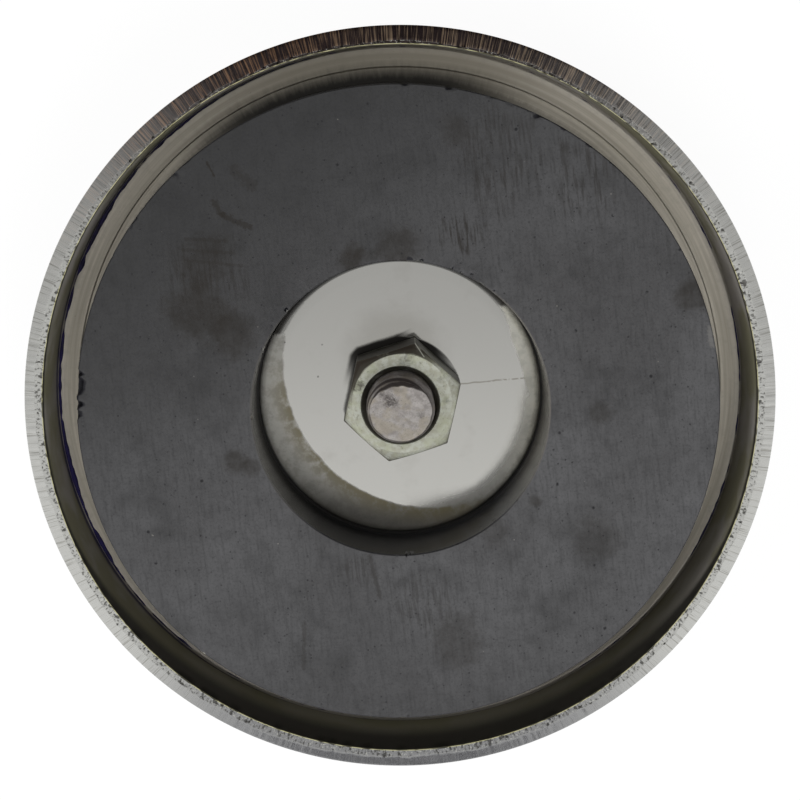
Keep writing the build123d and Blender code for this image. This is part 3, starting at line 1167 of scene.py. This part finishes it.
@dataclass
class SteelCup:
    """The cup pressed from sheet: back, wall, sheared rim, channel floor and domed boss."""

    levels: Levels
    outer_radius: float = 43.0
    sheet: float = 2.1
    inside_corner: float = 0.4
    flat_width: float = 0.85
    bevel_drop: float = 0.4
    bevel_round: float = 0.1
    mark_set_in: float = 2.5
    mark_width: float = 0.16
    mark_depth: float = 0.03
    boss_height: float = 1.2
    dome_radius: float = 400.0
    shoulder_run: float = 0.9
    boss_foot: float = 16.85
    recess_set_in: float = 0.7
    hole_radius: float = 4.47
    boss_centre: Pair = (0.0, -0.3)
    hole_centre: Pair = (0.02, -0.4)
    columns: int = 720
    rim_columns: int = 2160
    stroke_depth: float = 0.02
    chip_depth: float = 0.12
    ragged_edge: float = 0.10
    seat: float = 0.06
    hole_zone: float = 8.0
    boss_zone: float = 22.0
    hole_wall_share: float = 0.96
    crest_waver: Pair = (0.06, 0.04)
    flat_roughness: float = 0.05
    torn_depth: float = 0.12
    wall_set_down: float = 0.25
    flat_narrowing: float = 0.5
    narrow_spread: float = 50.0
    tarnish_and_reflection_spread: float = 50.0
    tarnish_and_reflection_way: float = 95.0
    seed: int = 11

    def __post_init__(self) -> None:
        """Works out the radii and levels that follow from the sizes."""
        self.inner_radius = self.outer_radius - self.sheet
        self.floor = self.levels.back + self.sheet
        self.crown = self.floor + self.boss_height
        self.mark_radius = self.inner_radius - self.mark_set_in

    def fall(self, radius: np.ndarray) -> np.ndarray:
        """How far the dome lies below its crown: R - sqrt(R^2 - r^2)."""
        return self.dome_radius - np.sqrt(self.dome_radius**2 - radius**2)

    def dome(self, crown: float, foot_radius: float, foot: float) -> np.ndarray:
        """The dome from the hole outwards, then its shoulder's arc down to the foot.

        Args:
            crown: Level of the dome's crown.
            foot_radius: Radius where the shoulder meets the flat sheet.
            foot: Level there.

        Returns:
            Rows of (radius, height).
        """
        edge = foot_radius - self.shoulder_run
        radii = np.linspace(self.hole_radius, edge, 9)
        top = np.column_stack([radii, crown - self.fall(radii)])
        lean = edge / np.sqrt(self.dome_radius**2 - edge**2)
        shoulder = tangent_arc(tuple(top[-1]), (1.0, -lean), (foot_radius, foot), 9)
        return np.vstack([top, shoulder[1:]])

    def outside(self) -> list[tuple[np.ndarray, Zone]]:
        """Outline from the hole's back edge out over the back and up to the bevel's foot."""
        recess = self.dome(
            self.crown - self.sheet, self.boss_foot - self.recess_set_in, self.levels.back
        )
        corner = self.inside_corner + self.sheet
        back = straight(tuple(recess[-1]), (self.outer_radius - corner, self.levels.back), 6)
        low_wall = (self.outer_radius, self.levels.back + corner)
        turn = tangent_arc(tuple(back[-1]), (1.0, 0.0), low_wall, 9)
        foot = self.levels.rim - self.bevel_drop - self.bevel_round
        wall = straight(low_wall, (self.outer_radius, foot), 6)
        skin = np.vstack([recess, back[1:], turn[1:], wall[1:-1]])
        return [(skin, Zone.OUTSIDE)]

    def rim(self) -> list[tuple[np.ndarray, Zone]]:
        """Outline of the sheared rim: the rounded bevel, then the rough flat inside it."""
        top = self.levels.rim
        run = self.sheet - self.flat_width
        lean = self.bevel_round / hypot(run, self.bevel_drop)
        foot = (self.outer_radius, top - self.bevel_drop - self.bevel_round)
        start = (self.outer_radius - run * lean, top - self.bevel_drop * (1 - lean))
        bend = tangent_arc(foot, (0.0, 1.0), start, 4)
        crest = (self.inner_radius + self.flat_width, top)
        bevel = straight(start, crest, 6)[1:]
        flat = straight(crest, (self.inner_radius, top), 9)[1:]
        torn = (self.inner_radius, top - self.torn_depth)
        edge = straight((self.inner_radius, top), torn, 3)[1:]
        return [
            (np.vstack([bend, bevel]), Zone.BEVEL),
            (np.vstack([flat, edge]), Zone.FRACTURE),
        ]

    def inside(self) -> list[tuple[np.ndarray, Zone]]:
        """Outline down the wall, over the floor and the boss, and down through the hole."""
        corner = self.floor + self.inside_corner
        wall_top = (self.inner_radius, self.levels.rim - self.wall_set_down)
        wall = straight(wall_top, (self.inner_radius, corner), 6)
        floor_edge = (self.inner_radius - self.inside_corner, self.floor)
        turn = tangent_arc(tuple(wall[-1]), (0.0, -1.0), floor_edge, 7)
        half = self.mark_width / 2
        offsets = np.array([half + self.seat, half, 0.0, -half, -half - self.seat])
        sink = np.array([0.0, 0.0, self.mark_depth, 0.0, 0.0])
        mark = np.column_stack([self.mark_radius + offsets, self.floor - sink])
        near = straight(tuple(mark[-1]), (self.boss_foot, self.floor), 7)
        boss = self.dome(self.crown, self.boss_foot, self.floor)[::-1]
        hole_foot = (self.hole_radius, boss[-1][1] - self.sheet * self.hole_wall_share)
        hole = straight(tuple(boss[-1]), hole_foot, 4)[1:-1]
        return [
            (wall, Zone.WALL),
            (np.vstack([turn[1:], mark, near[1:-1]]), Zone.FLOOR),
            (np.vstack([boss, hole]), Zone.BOSS),
        ]

    def ring_points(self, outline: np.ndarray, columns: int) -> np.ndarray:
        """Turns an outline: each row is a circle about its own centre.

        The centre goes from the bolt hole's to the boss's and then to the cup's as the radius
        grows, and on the dome each point's height follows its own distance from the boss's axis.

        Args:
            outline: Rows of (radius, height).
            columns: Points round each circle.

        Returns:
            An array of rows, columns and x, y, z.
        """
        radius, height = outline.T
        steps = (self.hole_radius, self.hole_zone, self.boss_foot, self.boss_zone)
        homes = (self.hole_centre, self.boss_centre, self.boss_centre, (0.0, 0.0))
        middle = [np.interp(radius, steps, [home[i] for home in homes]) for i in (0, 1)]
        angles = around(columns)
        x = middle[0][:, None] + radius[:, None] * np.cos(angles)
        y = middle[1][:, None] + radius[:, None] * np.sin(angles)
        z = np.repeat(height[:, None], columns, axis=1)
        away = np.hypot(x - self.boss_centre[0], y - self.boss_centre[1])
        shift = self.fall(radius)[:, None] - self.fall(np.minimum(away, self.boss_foot))
        z = z + np.where(radius[:, None] < self.hole_zone, shift, 0.0)
        return np.stack([x, y, z], axis=2)

    def toward_top(self, spread: float) -> np.ndarray:
        """How near each rim column is to +Y: a bell of the angle away, of a spread in degrees."""
        return bell(around(self.rim_columns), self.tarnish_and_reflection_way, spread, 4)

    def sheared(self, rows: np.ndarray, zones: np.ndarray) -> tuple[np.ndarray, np.ndarray]:
        """Cuts radial strokes into the bevel, and chips and a ragged edge into the flat.

        The crest between them first moves inwards where the flat is narrow, and wavers. Then
        each point moves into the metal by blurred noise: long strokes down the bevel, short
        chips on the flat, and outwards at the inner edge.

        Args:
            rows: The rim's points, rows by columns by x, y, z.
            zones: Which zone each row is in.

        Returns:
            The moved points, and how deep each is cut from 0 to 1.
        """
        shape = rows.shape[:2]
        bevel = (zones == Zone.BEVEL)[:, None].astype(float)
        flat = 1 - bevel
        reach = np.hypot(rows[..., 0], rows[..., 1])
        heading = rows[..., :2] / reach[..., None]
        crest = self.inner_radius + self.flat_width
        slow, quick = self.crest_waver
        waver = slow * blurred_noise((1, shape[1]), (0.1, 9.0), self.seed + 5)
        waver = waver + quick * blurred_noise((1, shape[1]), (0.1, 2.0), self.seed + 6)
        narrow = self.flat_narrowing * self.toward_top(self.narrow_spread) + waver
        share = np.interp(reach, (self.inner_radius, crest, self.outer_radius), (0, 1, 0))
        moved = rows.copy()
        moved[..., :2] -= heading * (share * narrow)[..., None]
        strokes = np.clip(blurred_noise(shape, (6.0, 1.1), self.seed) + 0.6, 0, 3) / 3
        rough = np.clip(blurred_noise(shape, (0.9, 1.3), self.seed + 1), 0, 3) / 3
        patch = blurred_noise(shape, (2.0, 40.0), self.seed + 2)
        chips = blurred_noise(shape, (1.3, 0.8), self.seed + 3) + 0.25 * patch
        chips = np.clip((chips - 1.15) * 1.2, 0, 1)
        grow = np.clip(np.arange(shape[0]) / 3.0, 0, 1)[:, None]
        depth = bevel * grow * self.stroke_depth * strokes
        depth = depth + flat * (self.flat_roughness * rough + self.chip_depth * chips)
        below = (self.levels.rim - rows[..., 2]) > 0.02
        moved[..., 2] -= np.where(below & (flat > 0), 0, depth)
        moved[..., :2] -= heading * (bevel * depth * 0.5)[..., None]
        ragged = np.clip(blurred_noise((1, shape[1]), (0.1, 2.2), self.seed + 4), 0, 2) / 2
        inner = np.clip((self.inner_radius + 0.3 - reach) / 0.3, 0, 1) * flat
        fade = np.clip(1 - (self.levels.rim - rows[..., 2]) / 0.5, 0, 1)
        moved[..., :2] += heading * (inner * fade * self.ragged_edge * ragged)[..., None]
        return moved, np.clip(bevel * strokes * 0.2 + flat * (chips * 2 + rough * 0.25), 0, 1)

    def build(self) -> bpy.types.Object:
        """Builds and dresses the cup."""
        outside, rim, inside = self.outside(), self.rim(), self.inside()
        parts = []
        counts: list[int] = []
        zones: list[np.ndarray] = []
        pits: list[np.ndarray] = []
        tarnish_and_reflection: list[np.ndarray] = []
        for group in (outside, rim, inside):
            columns = self.rim_columns if group is rim else self.columns
            outline = np.vstack([points for points, _ in group])
            kinds = np.concatenate([np.full(len(points), zone) for points, zone in group])
            rows = self.ring_points(outline, columns)
            cut, brown = np.zeros((2, *rows.shape[:2]))
            if group is rim:
                rows, cut = self.sheared(rows, kinds)
                # Brown tarnish and painted dark reflection toward +Y.
                brown = brown + self.toward_top(self.tarnish_and_reflection_spread)
            parts.append(rows.reshape(-1, 3))
            pits.append(cut.ravel())
            tarnish_and_reflection.append(brown.ravel())
            zones.append(np.repeat(kinds, columns))
            counts += [columns] * len(outline)
        piece = make_piece("pressed_cup", np.vstack(parts), skin_faces(counts, True))
        kinds = np.concatenate(zones)
        for zone in Zone:
            keep_values(piece, zone.value, kinds == zone)
        keep_values(piece, "pits", np.concatenate(pits))
        keep_values(piece, "tarnish_and_reflection", np.concatenate(tarnish_and_reflection))
        finish = PlatedSheet(
            self.levels.rim, self.floor, self.inner_radius, self.mark_radius, self.boss_foot
        )
        settle(piece, finish.material(), "steel_cup")
        return piece


@dataclass
class FerriteRing:
    """The ferrite ring: eased, chipped edges and a ground face."""

    levels: Levels
    outer_radius: float = 36.85
    bore_radius: float = 17.05
    ease: float = 0.15
    centre: Pair = (-0.2, -0.25)
    bore_centre: Pair = (0.0, -0.33)
    chip_size: float = 0.5
    chip_fade: float = 0.35
    broken_strength: float = 1.8
    chipped_width: float = 1.2
    chipped_height: float = 0.5
    broken_way: float = 177.0
    broken_spread: float = 4.4
    columns: int = 900
    seed: int = 31

    def build(self) -> bpy.types.Object:
        """Builds and dresses the ring.

        Each outline row is a circle about a centre that goes from the bore's to the ring's as
        the radius grows. Chips move the top edges' points down and inwards by blurred noise.
        """
        low, high, ease = self.levels.ring_base, self.levels.ring_face, self.ease
        inner, outer = self.bore_radius, self.outer_radius
        outline = np.vstack(
            [
                straight((inner, low + ease), (inner + ease, low), 2),
                straight((inner + ease, low), (outer - ease, low), 6)[1:],
                straight((outer, low + ease), (outer, high - ease - self.chipped_height), 6),
                straight((outer, high - ease - 0.4), (outer, high - ease), 3),
                straight((outer - ease, high), (outer - self.chipped_width, high), 6),
                straight(
                    (outer - self.chipped_width, high), (inner + self.chipped_width, high), 26
                )[1:-1],
                straight((inner + self.chipped_width, high), (inner + ease, high), 5),
                straight((inner, high - ease), (inner, low + ease), 7)[:-1],
            ]
        )
        radius, height = outline.T
        share = np.clip((radius - inner) / (outer - inner), 0, 1)
        middle = [np.interp(share, (0, 1), pair) for pair in zip(self.bore_centre, self.centre)]
        angles = around(self.columns)
        shape = (len(outline), self.columns)
        nibble = np.clip(blurred_noise(shape, (1.0, 1.5), self.seed) - 1.0, 0, 2) / 2
        patch = np.clip(blurred_noise((1, shape[1]), (0.1, 14.0), self.seed + 1) - 0.4, 0, 1.5)
        near_edge = np.exp(-np.minimum(outer - radius, radius - inner) / self.chip_fade)
        near_top = np.clip((height - (high - 0.7)) / 0.5, 0, 1)
        broken = bell(angles, self.broken_way, self.broken_spread, 4)
        teeth = np.clip(blurred_noise((1, shape[1]), (0.1, 0.7), self.seed + 2) + 0.3, 0, 2) / 2
        outer_side = (radius > (inner + outer) / 2).astype(float)[:, None]
        chips = nibble * patch + outer_side * self.broken_strength * teeth * broken
        chips = chips * (near_edge * near_top)[:, None]
        reach = radius[:, None] + (1 - 2 * outer_side) * self.chip_size * chips
        x = middle[0][:, None] + reach * np.cos(angles)
        y = middle[1][:, None] + reach * np.sin(angles)
        z = height[:, None] - self.chip_size * chips
        points = np.stack([x, y, z], axis=2).reshape(-1, 3)
        faces = skin_faces([self.columns] * len(outline), True)
        piece = make_piece("ferrite_ring", points, faces)
        keep_values(piece, "pits", np.clip(chips.ravel() * 4, 0, 1))
        settle(piece, GroundFerrite().material(), "ring_magnet")
        return piece


@dataclass
class Thread:
    """A right-hand screw thread on a bolt or in a nut."""

    crest: float
    root: float
    pitch: float = 1.25
    steepness: float = 2.5
    root_flat: float = 0.15

    def radius(self, height: np.ndarray, angles: np.ndarray) -> np.ndarray:
        """Radius of the thread's skin.

        The phase is height over pitch less the angle's share of a turn. The radius goes up and
        down with it in a triangle wave whose crest and root are cut flat.

        Args:
            height: Heights, as a column.
            angles: Angles, as a row.

        Returns:
            An array of radii.
        """
        phase = (height / self.pitch - angles / TURN) % 1.0
        wave = np.clip(self.steepness * np.abs(phase - 0.5) - self.root_flat, 0, 1)
        return self.root + (self.crest - self.root) * wave

    def share(self, reach: np.ndarray) -> np.ndarray:
        """How far a radius is up the thread: (r - root) / (crest - root)."""
        return np.clip((reach - self.root) / (self.crest - self.root), 0, 1)


@dataclass
class Hexagon:
    """A hexagon in plan with slightly rounded corners."""

    across_flats: float = 12.4
    corner_ease: float = 0.02
    chamfer_radius: float = 5.8
    chamfer_angle: float = 30.0

    def radius(self, angles: np.ndarray) -> np.ndarray:
        """Distance to the side: half the flats over cos of the angle from the flat's middle."""
        from_flat = (angles % (pi / 3)) - pi / 6
        reach = self.across_flats / 2 / np.cos(from_flat)
        return np.minimum(reach, self.across_flats / 2 / cos(pi / 6) - self.corner_ease)

    def drop(self, radius: np.ndarray) -> np.ndarray:
        """How far the chamfer's cone lies below the end face at a radius."""
        slope = tan(radians(self.chamfer_angle))
        return np.maximum(0, radius - self.chamfer_radius) * slope


@dataclass
class HexNut:
    """The nut on the boss: chamfered hexagon, countersunk and threaded bore."""

    levels: Levels
    hexagon: Hexagon
    thread: Thread
    centre: Pair = (0.02, -0.4)
    hexagon_offset: Pair = (0.2, 0.2)
    turn: float = 17.6
    countersink: float = 4.65
    side_dirt_and_shade: float = 0.95
    corner_highlight_share: float = 0.35
    foot_dirt: float = 0.6
    chamfer_dirt: float = 0.5
    chamfer_shade: float = 0.9
    bore_dirt: float = 0.9
    corner_highlight_way: float = 47.0
    corner_highlight_spread: float = 26.0
    chamfer_shade_way: float = 112.0
    chamfer_shade_spread: float = 62.0
    sharp: float = 22.0
    columns: int = 720

    def build(self) -> bpy.types.Object:
        """Builds and dresses the nut.

        Rows run out over the lower face, up the side, in over the upper face and down the bore.
        A side row's radius is the hexagon's, and its ends follow the chamfer's cone. A row's
        middle goes from the bore's to the hexagon's as its radius grows.
        """
        low, high = self.levels.nut_base, self.levels.nut_top
        angles = around(self.columns)
        facing = angles + radians(self.turn)
        side = self.hexagon.radius(angles)
        drop = self.hexagon.drop(side)
        flat = self.hexagon.chamfer_radius
        skin = Skin(self.columns)
        wide = flat - self.countersink
        for share in np.linspace(0, 1, 3):
            skin.add(self.countersink + wide * share, low, self.foot_dirt)
        for share in np.linspace(0, 1, 5)[1:]:
            reach = flat + (side - flat) * share
            skin.add(reach, low + self.hexagon.drop(reach), self.chamfer_dirt)
        # Painted highlight: the sides are lighter round the corner toward 47 degrees.
        corner_highlight = self.corner_highlight_share * bell(facing, self.corner_highlight_way, self.corner_highlight_spread, 4)
        # The nut's sides are dark: partly dirt, partly painted dark reflection.
        for share in np.linspace(0, 1, 10)[1:]:
            height = low + drop + (high - low - 2 * drop) * share
            skin.add(side, height, self.side_dirt_and_shade - corner_highlight)
        # Painted shade: the upper chamfer darkens round its upper side.
        shaded = self.chamfer_shade * bell(facing, self.chamfer_shade_way, self.chamfer_shade_spread, 6)
        for share in np.linspace(1, 0, 7)[1:]:
            reach = flat + (side - flat) * share
            grime = 0.05 + self.side_dirt_and_shade * share**6 + shaded * min(1.0, share * 6)
            skin.add(reach, high - self.hexagon.drop(reach), np.clip(grime, 0, 1))
        for share in np.linspace(1, 0, 6)[1:]:
            skin.add(self.countersink + wide * share, high, 0.1 * (1 - share))
        depth = self.countersink - self.thread.crest
        for height in np.linspace(high - depth * 0.25, low + depth * 0.25, 66):
            open_end = self.countersink - min(high - height, height - low)
            reach = np.maximum(self.thread.radius(np.array(height), angles), open_end)
            skin.add(reach, height, self.bore_dirt)
        radius, height, dirt_and_shade = skin.values()
        share = np.clip((radius - self.countersink) / wide, 0, 1)
        x = self.centre[0] + share * self.hexagon_offset[0] + radius * np.cos(facing)
        y = self.centre[1] + share * self.hexagon_offset[1] + radius * np.sin(facing)
        points = np.stack([x, y, height], axis=2).reshape(-1, 3)
        faces = skin_faces([self.columns] * len(radius), True)
        piece = make_piece("hexagon_nut", points, faces, self.sharp)
        keep_values(piece, "dirt_and_shade", dirt_and_shade.ravel())
        settle(piece, NUT_FINISH.material(), "hex_nut")
        return piece


@dataclass
class HexBolt:
    """The bolt: chamfered hexagon head behind the cup, threaded shank, mottled end face."""

    levels: Levels
    hexagon: Hexagon
    thread: Thread
    centre: Pair = (0.02, -0.4)
    head_height: float = 5.3
    head_turn: float = 5.0
    point_radius: float = 3.6
    point_length: float = 0.7
    worn_toward: float = 92.0
    worn_depth: float = 0.85
    worn_spread: float = 52.0
    rim_lines: float = 2.0
    rim_sink: float = 0.06
    pole_sink: float = 0.02
    dent_depth: float = 0.05
    worn_waver: float = 0.05
    head_dirt: float = 0.1
    thread_dirt: Pair = (0.8, 0.5)
    point_dirt_and_shade: float = 0.75
    end_dirt: float = 0.12
    sharp: float = 25.0
    columns: int = 360
    seed: int = 51

    def build(self) -> bpy.types.Object:
        """Builds and dresses the bolt.

        Rows run from the pole under the head out over it, up its side, in to the shank, up the
        thread, in over the end's chamfer and face to the upper pole. Blurred noise dents the
        end face.
        """
        angles = around(self.columns)
        facing = angles + radians(self.head_turn)
        side = self.hexagon.radius(angles)
        flat = self.hexagon.chamfer_radius
        top = self.levels.bolt_end
        skin = Skin(self.columns)
        for share in np.linspace(0, 1, 7)[1:]:
            skin.add(flat * share, 0.0, self.head_dirt)
        for share in np.linspace(0, 1, 6)[1:]:
            reach = flat + (side - flat) * share
            skin.add(reach, self.hexagon.drop(reach), self.head_dirt)
        drop = self.hexagon.drop(side)
        for share in np.linspace(0, 1, 7)[1:]:
            skin.add(side, drop + (self.head_height - drop) * share, 2 * self.head_dirt)
        for share in np.linspace(1, 0, 4)[1:]:
            reach = self.thread.root + (side - self.thread.root) * share
            skin.add(reach, self.head_height, self.thread_dirt[1])
        point_start = top - self.point_length
        for height in np.linspace(self.head_height + 0.05, point_start, 92):
            reach = self.thread.radius(np.array(height), angles)
            grime = np.interp(self.thread.share(reach), (0, 1), self.thread_dirt)
            skin.add(reach, height, grime)
        worn = self.worn_depth * bell(facing, self.worn_toward, self.worn_spread)
        waver = blurred_noise((1, self.columns), (0.1, 5.0), self.seed + 1)[0]
        worn = worn + self.worn_waver * waver
        end_radius = self.point_radius - np.maximum(worn, 0)
        # Painted shade: the point's chamfer darkens toward +Y; the rings round it are dark lines.
        shaded = bell(facing, self.worn_toward, self.worn_spread * 1.2)
        for share in np.linspace(0, 1, 17)[1:]:
            height = point_start + (top - self.rim_sink - point_start) * share
            cone = self.thread.crest + (end_radius - self.thread.crest) * share
            reach = np.minimum(self.thread.radius(np.array(height), angles), cone)
            lined = 0.5 - 0.5 * cos(TURN * self.rim_lines * share)
            skin.add(reach, height, np.clip(self.point_dirt_and_shade * (shaded + lined), 0.08, 1))
        dents = blurred_noise((16, self.columns), (1.0, 9.0), self.seed)
        for index, share in enumerate(np.linspace(1, 0, 16)[:-1]):
            sink = self.dent_depth * np.clip(dents[index] + 0.6, 0, 3) * share
            skin.add(end_radius * (0.15 * share + 0.85) * share, top - sink, self.end_dirt)
        radius, height, dirt_and_shade = skin.values()
        x = self.centre[0] + radius * np.cos(facing)
        y = self.centre[1] + radius * np.sin(facing)
        body = np.stack([x, y, height], axis=2).reshape(-1, 3)
        levels = (0.0, top - self.pole_sink)
        lower, upper = (np.array([[*self.centre, level]]) for level in levels)
        points = np.vstack([lower, body, upper])
        counts = [1] + [self.columns] * len(radius) + [1]
        piece = make_piece("threaded_bolt", points, skin_faces(counts, False), self.sharp)
        pole_dirt = [self.head_dirt]
        keep_values(piece, "dirt_and_shade", np.concatenate([pole_dirt, dirt_and_shade.ravel(), pole_dirt]))
        settle(piece, BOLT_FINISH.material(), "hex_bolt")
        return piece


@dataclass
class WallFootNavyBead:
    """A ragged navy bead where the channel's floor meets the cup's wall, put there as a painted
    reflection in the fillet.
    """

    radius: float
    floor: float
    width: float = 0.40
    height: float = 0.26
    lift: float = 0.06
    set_out: float = 0.12
    thinnest: float = 0.10
    left_share: float = 0.95
    right_share: float = 0.40
    left_way: float = 172.0
    left_spread: float = 62.0
    right_spread: float = 50.0
    columns: int = 1080
    seed: int = 71

    def fullness(self) -> np.ndarray:
        """How full the bead is round the cup: a wide bell toward -X and a low one toward +X."""
        angles = around(self.columns)
        left = self.left_share * bell(angles, self.left_way, self.left_spread)
        return self.thinnest + left + self.right_share * bell(angles, 0.0, self.right_spread)

    def build(self) -> bpy.types.Object:
        """Builds and dresses the bead.

        Each section is a closed flat loop: half its width times 1 plus noise across, and its
        height times the sine of the way round up. The noise runs round the cup.
        """
        way = around(14)
        spread = 1 + 0.35 * blurred_noise((1, self.columns), (0.1, 6.0), self.seed)
        fine = blurred_noise((1, self.columns), (0.1, 1.5), self.seed + 1)
        spread = np.clip(spread + 0.25 * fine, 0.3, 2.2) * self.fullness()
        across = np.cos(way)[:, None] * self.width / 2 * spread
        up = np.sin(way)[:, None] * self.height / 2 * spread
        reach = self.radius + self.set_out * (1 - np.clip(spread, 0, 1)) + across
        angles = around(self.columns)
        x, y = reach * np.cos(angles), reach * np.sin(angles)
        z = self.floor + up + self.lift
        points = np.stack([x, y, z], axis=2).reshape(-1, 3)
        faces = skin_faces([self.columns] * len(way), True)
        piece = make_piece("wall_foot_navy_bead", points, faces)
        # Painted reflection: the bead is dark navy, fullest toward -X.
        finish = GlueAndPaintedReflection("navy_bead_reflection", (0.012, 0.008, 0.062), (0.005, 0.003, 0.028))
        settle(piece, finish.material(), "")
        return piece


def dress_glue() -> None:
    """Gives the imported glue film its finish."""
    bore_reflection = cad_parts["magnet_glue"]
    material = GlueAndPaintedReflection("amber_glue", (0.10, 0.075, 0.04), (0.04, 0.03, 0.018)).material()
    if not bore_reflection.material_slots:
        bore_reflection.data.materials.append(material)
    for held in bore_reflection.material_slots:
        held.material = material
    LOG.info("%s: dressed", bore_reflection.name)


# ---------------------------------------------------------------- studio


@dataclass
class Studio:
    """Pale floor, soft light, dark cards for the metal to reflect, and the camera."""

    rim: float
    aim: Pair = (-0.061, 0.849)
    heading: tuple[float, float, float] = (-0.0060, 0.16425, 0.98640)
    distance: float = 228.455
    lens: float = 90.0
    sensor: float = 36.0
    sky_turn: Pair = (-0.32, 0.0)
    sky_light: Pair = (0.92, 0.62)
    floor_reach: float = 4000.0
    floor_self_lit: float = 0.94

    def floor(self) -> None:
        """A wide pale floor that shows white and keeps the object's shadow."""
        signs = np.array([[-1, -1, 0], [1, -1, 0], [1, 1, 0], [-1, 1, 0]])
        corners = self.floor_reach * signs
        floor = make_piece("studio_floor", corners, [np.array([[0, 1, 2, 3]])])
        g = Graph("pale_floor")
        paper = g.noise(g.place, 0.01, 2.0)
        self_lit = g.node("ShaderNodeEmission")
        rays = g.node("ShaderNodeLightPath").outputs
        seen = g.math("ADD", rays["Is Camera Ray"], rays["Is Glossy Ray"])
        seen = g.math("ADD", seen, rays["Is Transmission Ray"], clamp=True)
        mixed = g.node("ShaderNodeMixShader")
        g.feed(mixed.inputs[0], g.times(seen, self.floor_self_lit))
        g.feed(mixed.inputs[1], g.shader.outputs[0])
        g.feed(mixed.inputs[2], self_lit.outputs[0])
        g.feed(g.tree.nodes["Material Output"].inputs["Surface"], mixed.outputs[0])
        g.shader.inputs["Specular IOR Level"].default_value = 0.1
        g.finish(g.blend(paper, (0.80, 0.80, 0.80), (0.84, 0.84, 0.84)), 0.8)
        floor.data.materials.append(g.material)

    def card(
        self,
        name: str,
        middle: Sequence[float],
        size: Pair,
        colour: Colour,
        facing: Sequence[float],
    ) -> None:
        """A matt card that only reflections see.

        Args:
            name: The card's name.
            middle: Its middle.
            size: Its width and height.
            colour: Its colour.
            facing: The direction that it faces.
        """
        front = Vector(facing).normalized()
        side = front.cross(Vector((0, 0, 1)))
        side = side.normalized() if side.length > 0.1 else Vector((1, 0, 0))
        up = side.cross(front)
        half = [np.array(side) * size[0] / 2, np.array(up) * size[1] / 2]
        signs = ((-1, -1), (1, -1), (1, 1), (-1, 1))
        corners = np.array([np.array(middle) + a * half[0] + b * half[1] for a, b in signs])
        card = make_piece(name, corners, [np.array([[0, 1, 2, 3]])])
        g = Graph(name)
        weave = g.noise(g.place, 0.05, 2.0)
        darker = tuple(0.7 * part for part in colour)
        card.data.materials.append(g.finish(g.blend(weave, darker, colour), 0.9))
        card.visible_camera = False
        card.visible_shadow = False

    def lamp(self, name: str, place: Sequence[float], size: float, power: float) -> None:
        """A soft square lamp that faces the part."""
        light = bpy.data.lights.new(name, "AREA")
        light.shape, light.size, light.energy = "SQUARE", size * MM, power
        lamp = bpy.data.objects.new(name, light)
        lamp.visible_glossy = False
        lamp.location = Vector(place) * MM
        lamp.rotation_euler = lamp.location.to_track_quat("Z", "Y").to_euler()
        bpy.context.scene.collection.objects.link(lamp)

    def world(self) -> None:
        """An even pale sky, brighter towards -Y."""
        world = bpy.data.worlds.new("soft_sky")
        world.use_nodes = True
        bpy.context.scene.world = world
        tree = world.node_tree
        heading = tree.nodes.new("ShaderNodeTexCoord").outputs["Generated"]
        parts = tree.nodes.new("ShaderNodeSeparateXYZ")
        tree.links.new(heading, parts.inputs[0])
        spread = tree.nodes.new("ShaderNodeMapRange")
        spread.interpolation_type = "SMOOTHSTEP"
        ends = (*self.sky_turn, *self.sky_light)
        for name, value in zip(("From Min", "From Max", "To Min", "To Max"), ends):
            spread.inputs[name].default_value = value
        tree.links.new(parts.outputs[1], spread.inputs["Value"])
        background = tree.nodes["Background"]
        background.inputs["Color"].default_value = (1.0, 1.0, 0.99, 1.0)
        tree.links.new(spread.outputs[0], background.inputs["Strength"])

    def camera(self) -> None:
        """The camera, up along +Y, 90 mm lens."""
        back = Vector(self.heading).normalized()
        side = Vector((0, 1, 0)).cross(back).normalized()
        up = back.cross(side)
        target = Vector((*self.aim, self.rim))
        data = bpy.data.cameras.new("camera")
        data.lens, data.sensor_width, data.clip_start = self.lens, self.sensor, 0.01
        camera = bpy.data.objects.new("camera", data)
        frame_axes = Matrix((side, up, back)).transposed().to_4x4()
        place = (target + back * self.distance) * MM
        camera.matrix_world = Matrix.Translation(place) @ frame_axes
        bpy.context.scene.collection.objects.link(camera)
        bpy.context.scene.camera = camera

    def build(self) -> None:
        """Sets up the whole studio."""
        bpy.context.scene.view_settings.view_transform = "Standard"
        self.floor()
        self.world()
        self.card("back_card", (0, 170, 150), (290, 300), (0.08, 0.07, 0.065), (0, -1, 0))
        self.card("front_card", (0, -170, 109), (110, 62), (0.30, 0.30, 0.32), (0, 1, 0))
        self.lamp("key", (120, -260, 420), 300.0, 2.0)
        self.lamp("fill", (-320, 60, 320), 300.0, 1.2)
        self.camera()


def main() -> None:
    """Builds every piece and the studio."""
    logging.basicConfig(level=logging.INFO, format="%(name)s %(message)s")
    levels = Levels.from_solids()
    cup = SteelCup(levels)
    cup.build()
    FerriteRing(levels).build()
    dress_glue()
    HexNut(levels, Hexagon(), Thread(crest=4.02, root=4.5)).build()
    HexBolt(levels, Hexagon(), Thread(crest=3.95, root=3.3)).build()
    WallFootNavyBead(cup.inner_radius - cup.inside_corner * 0.5, cup.floor).build()
    Studio(levels.rim).build()


if __name__ == "__main__":
    main()
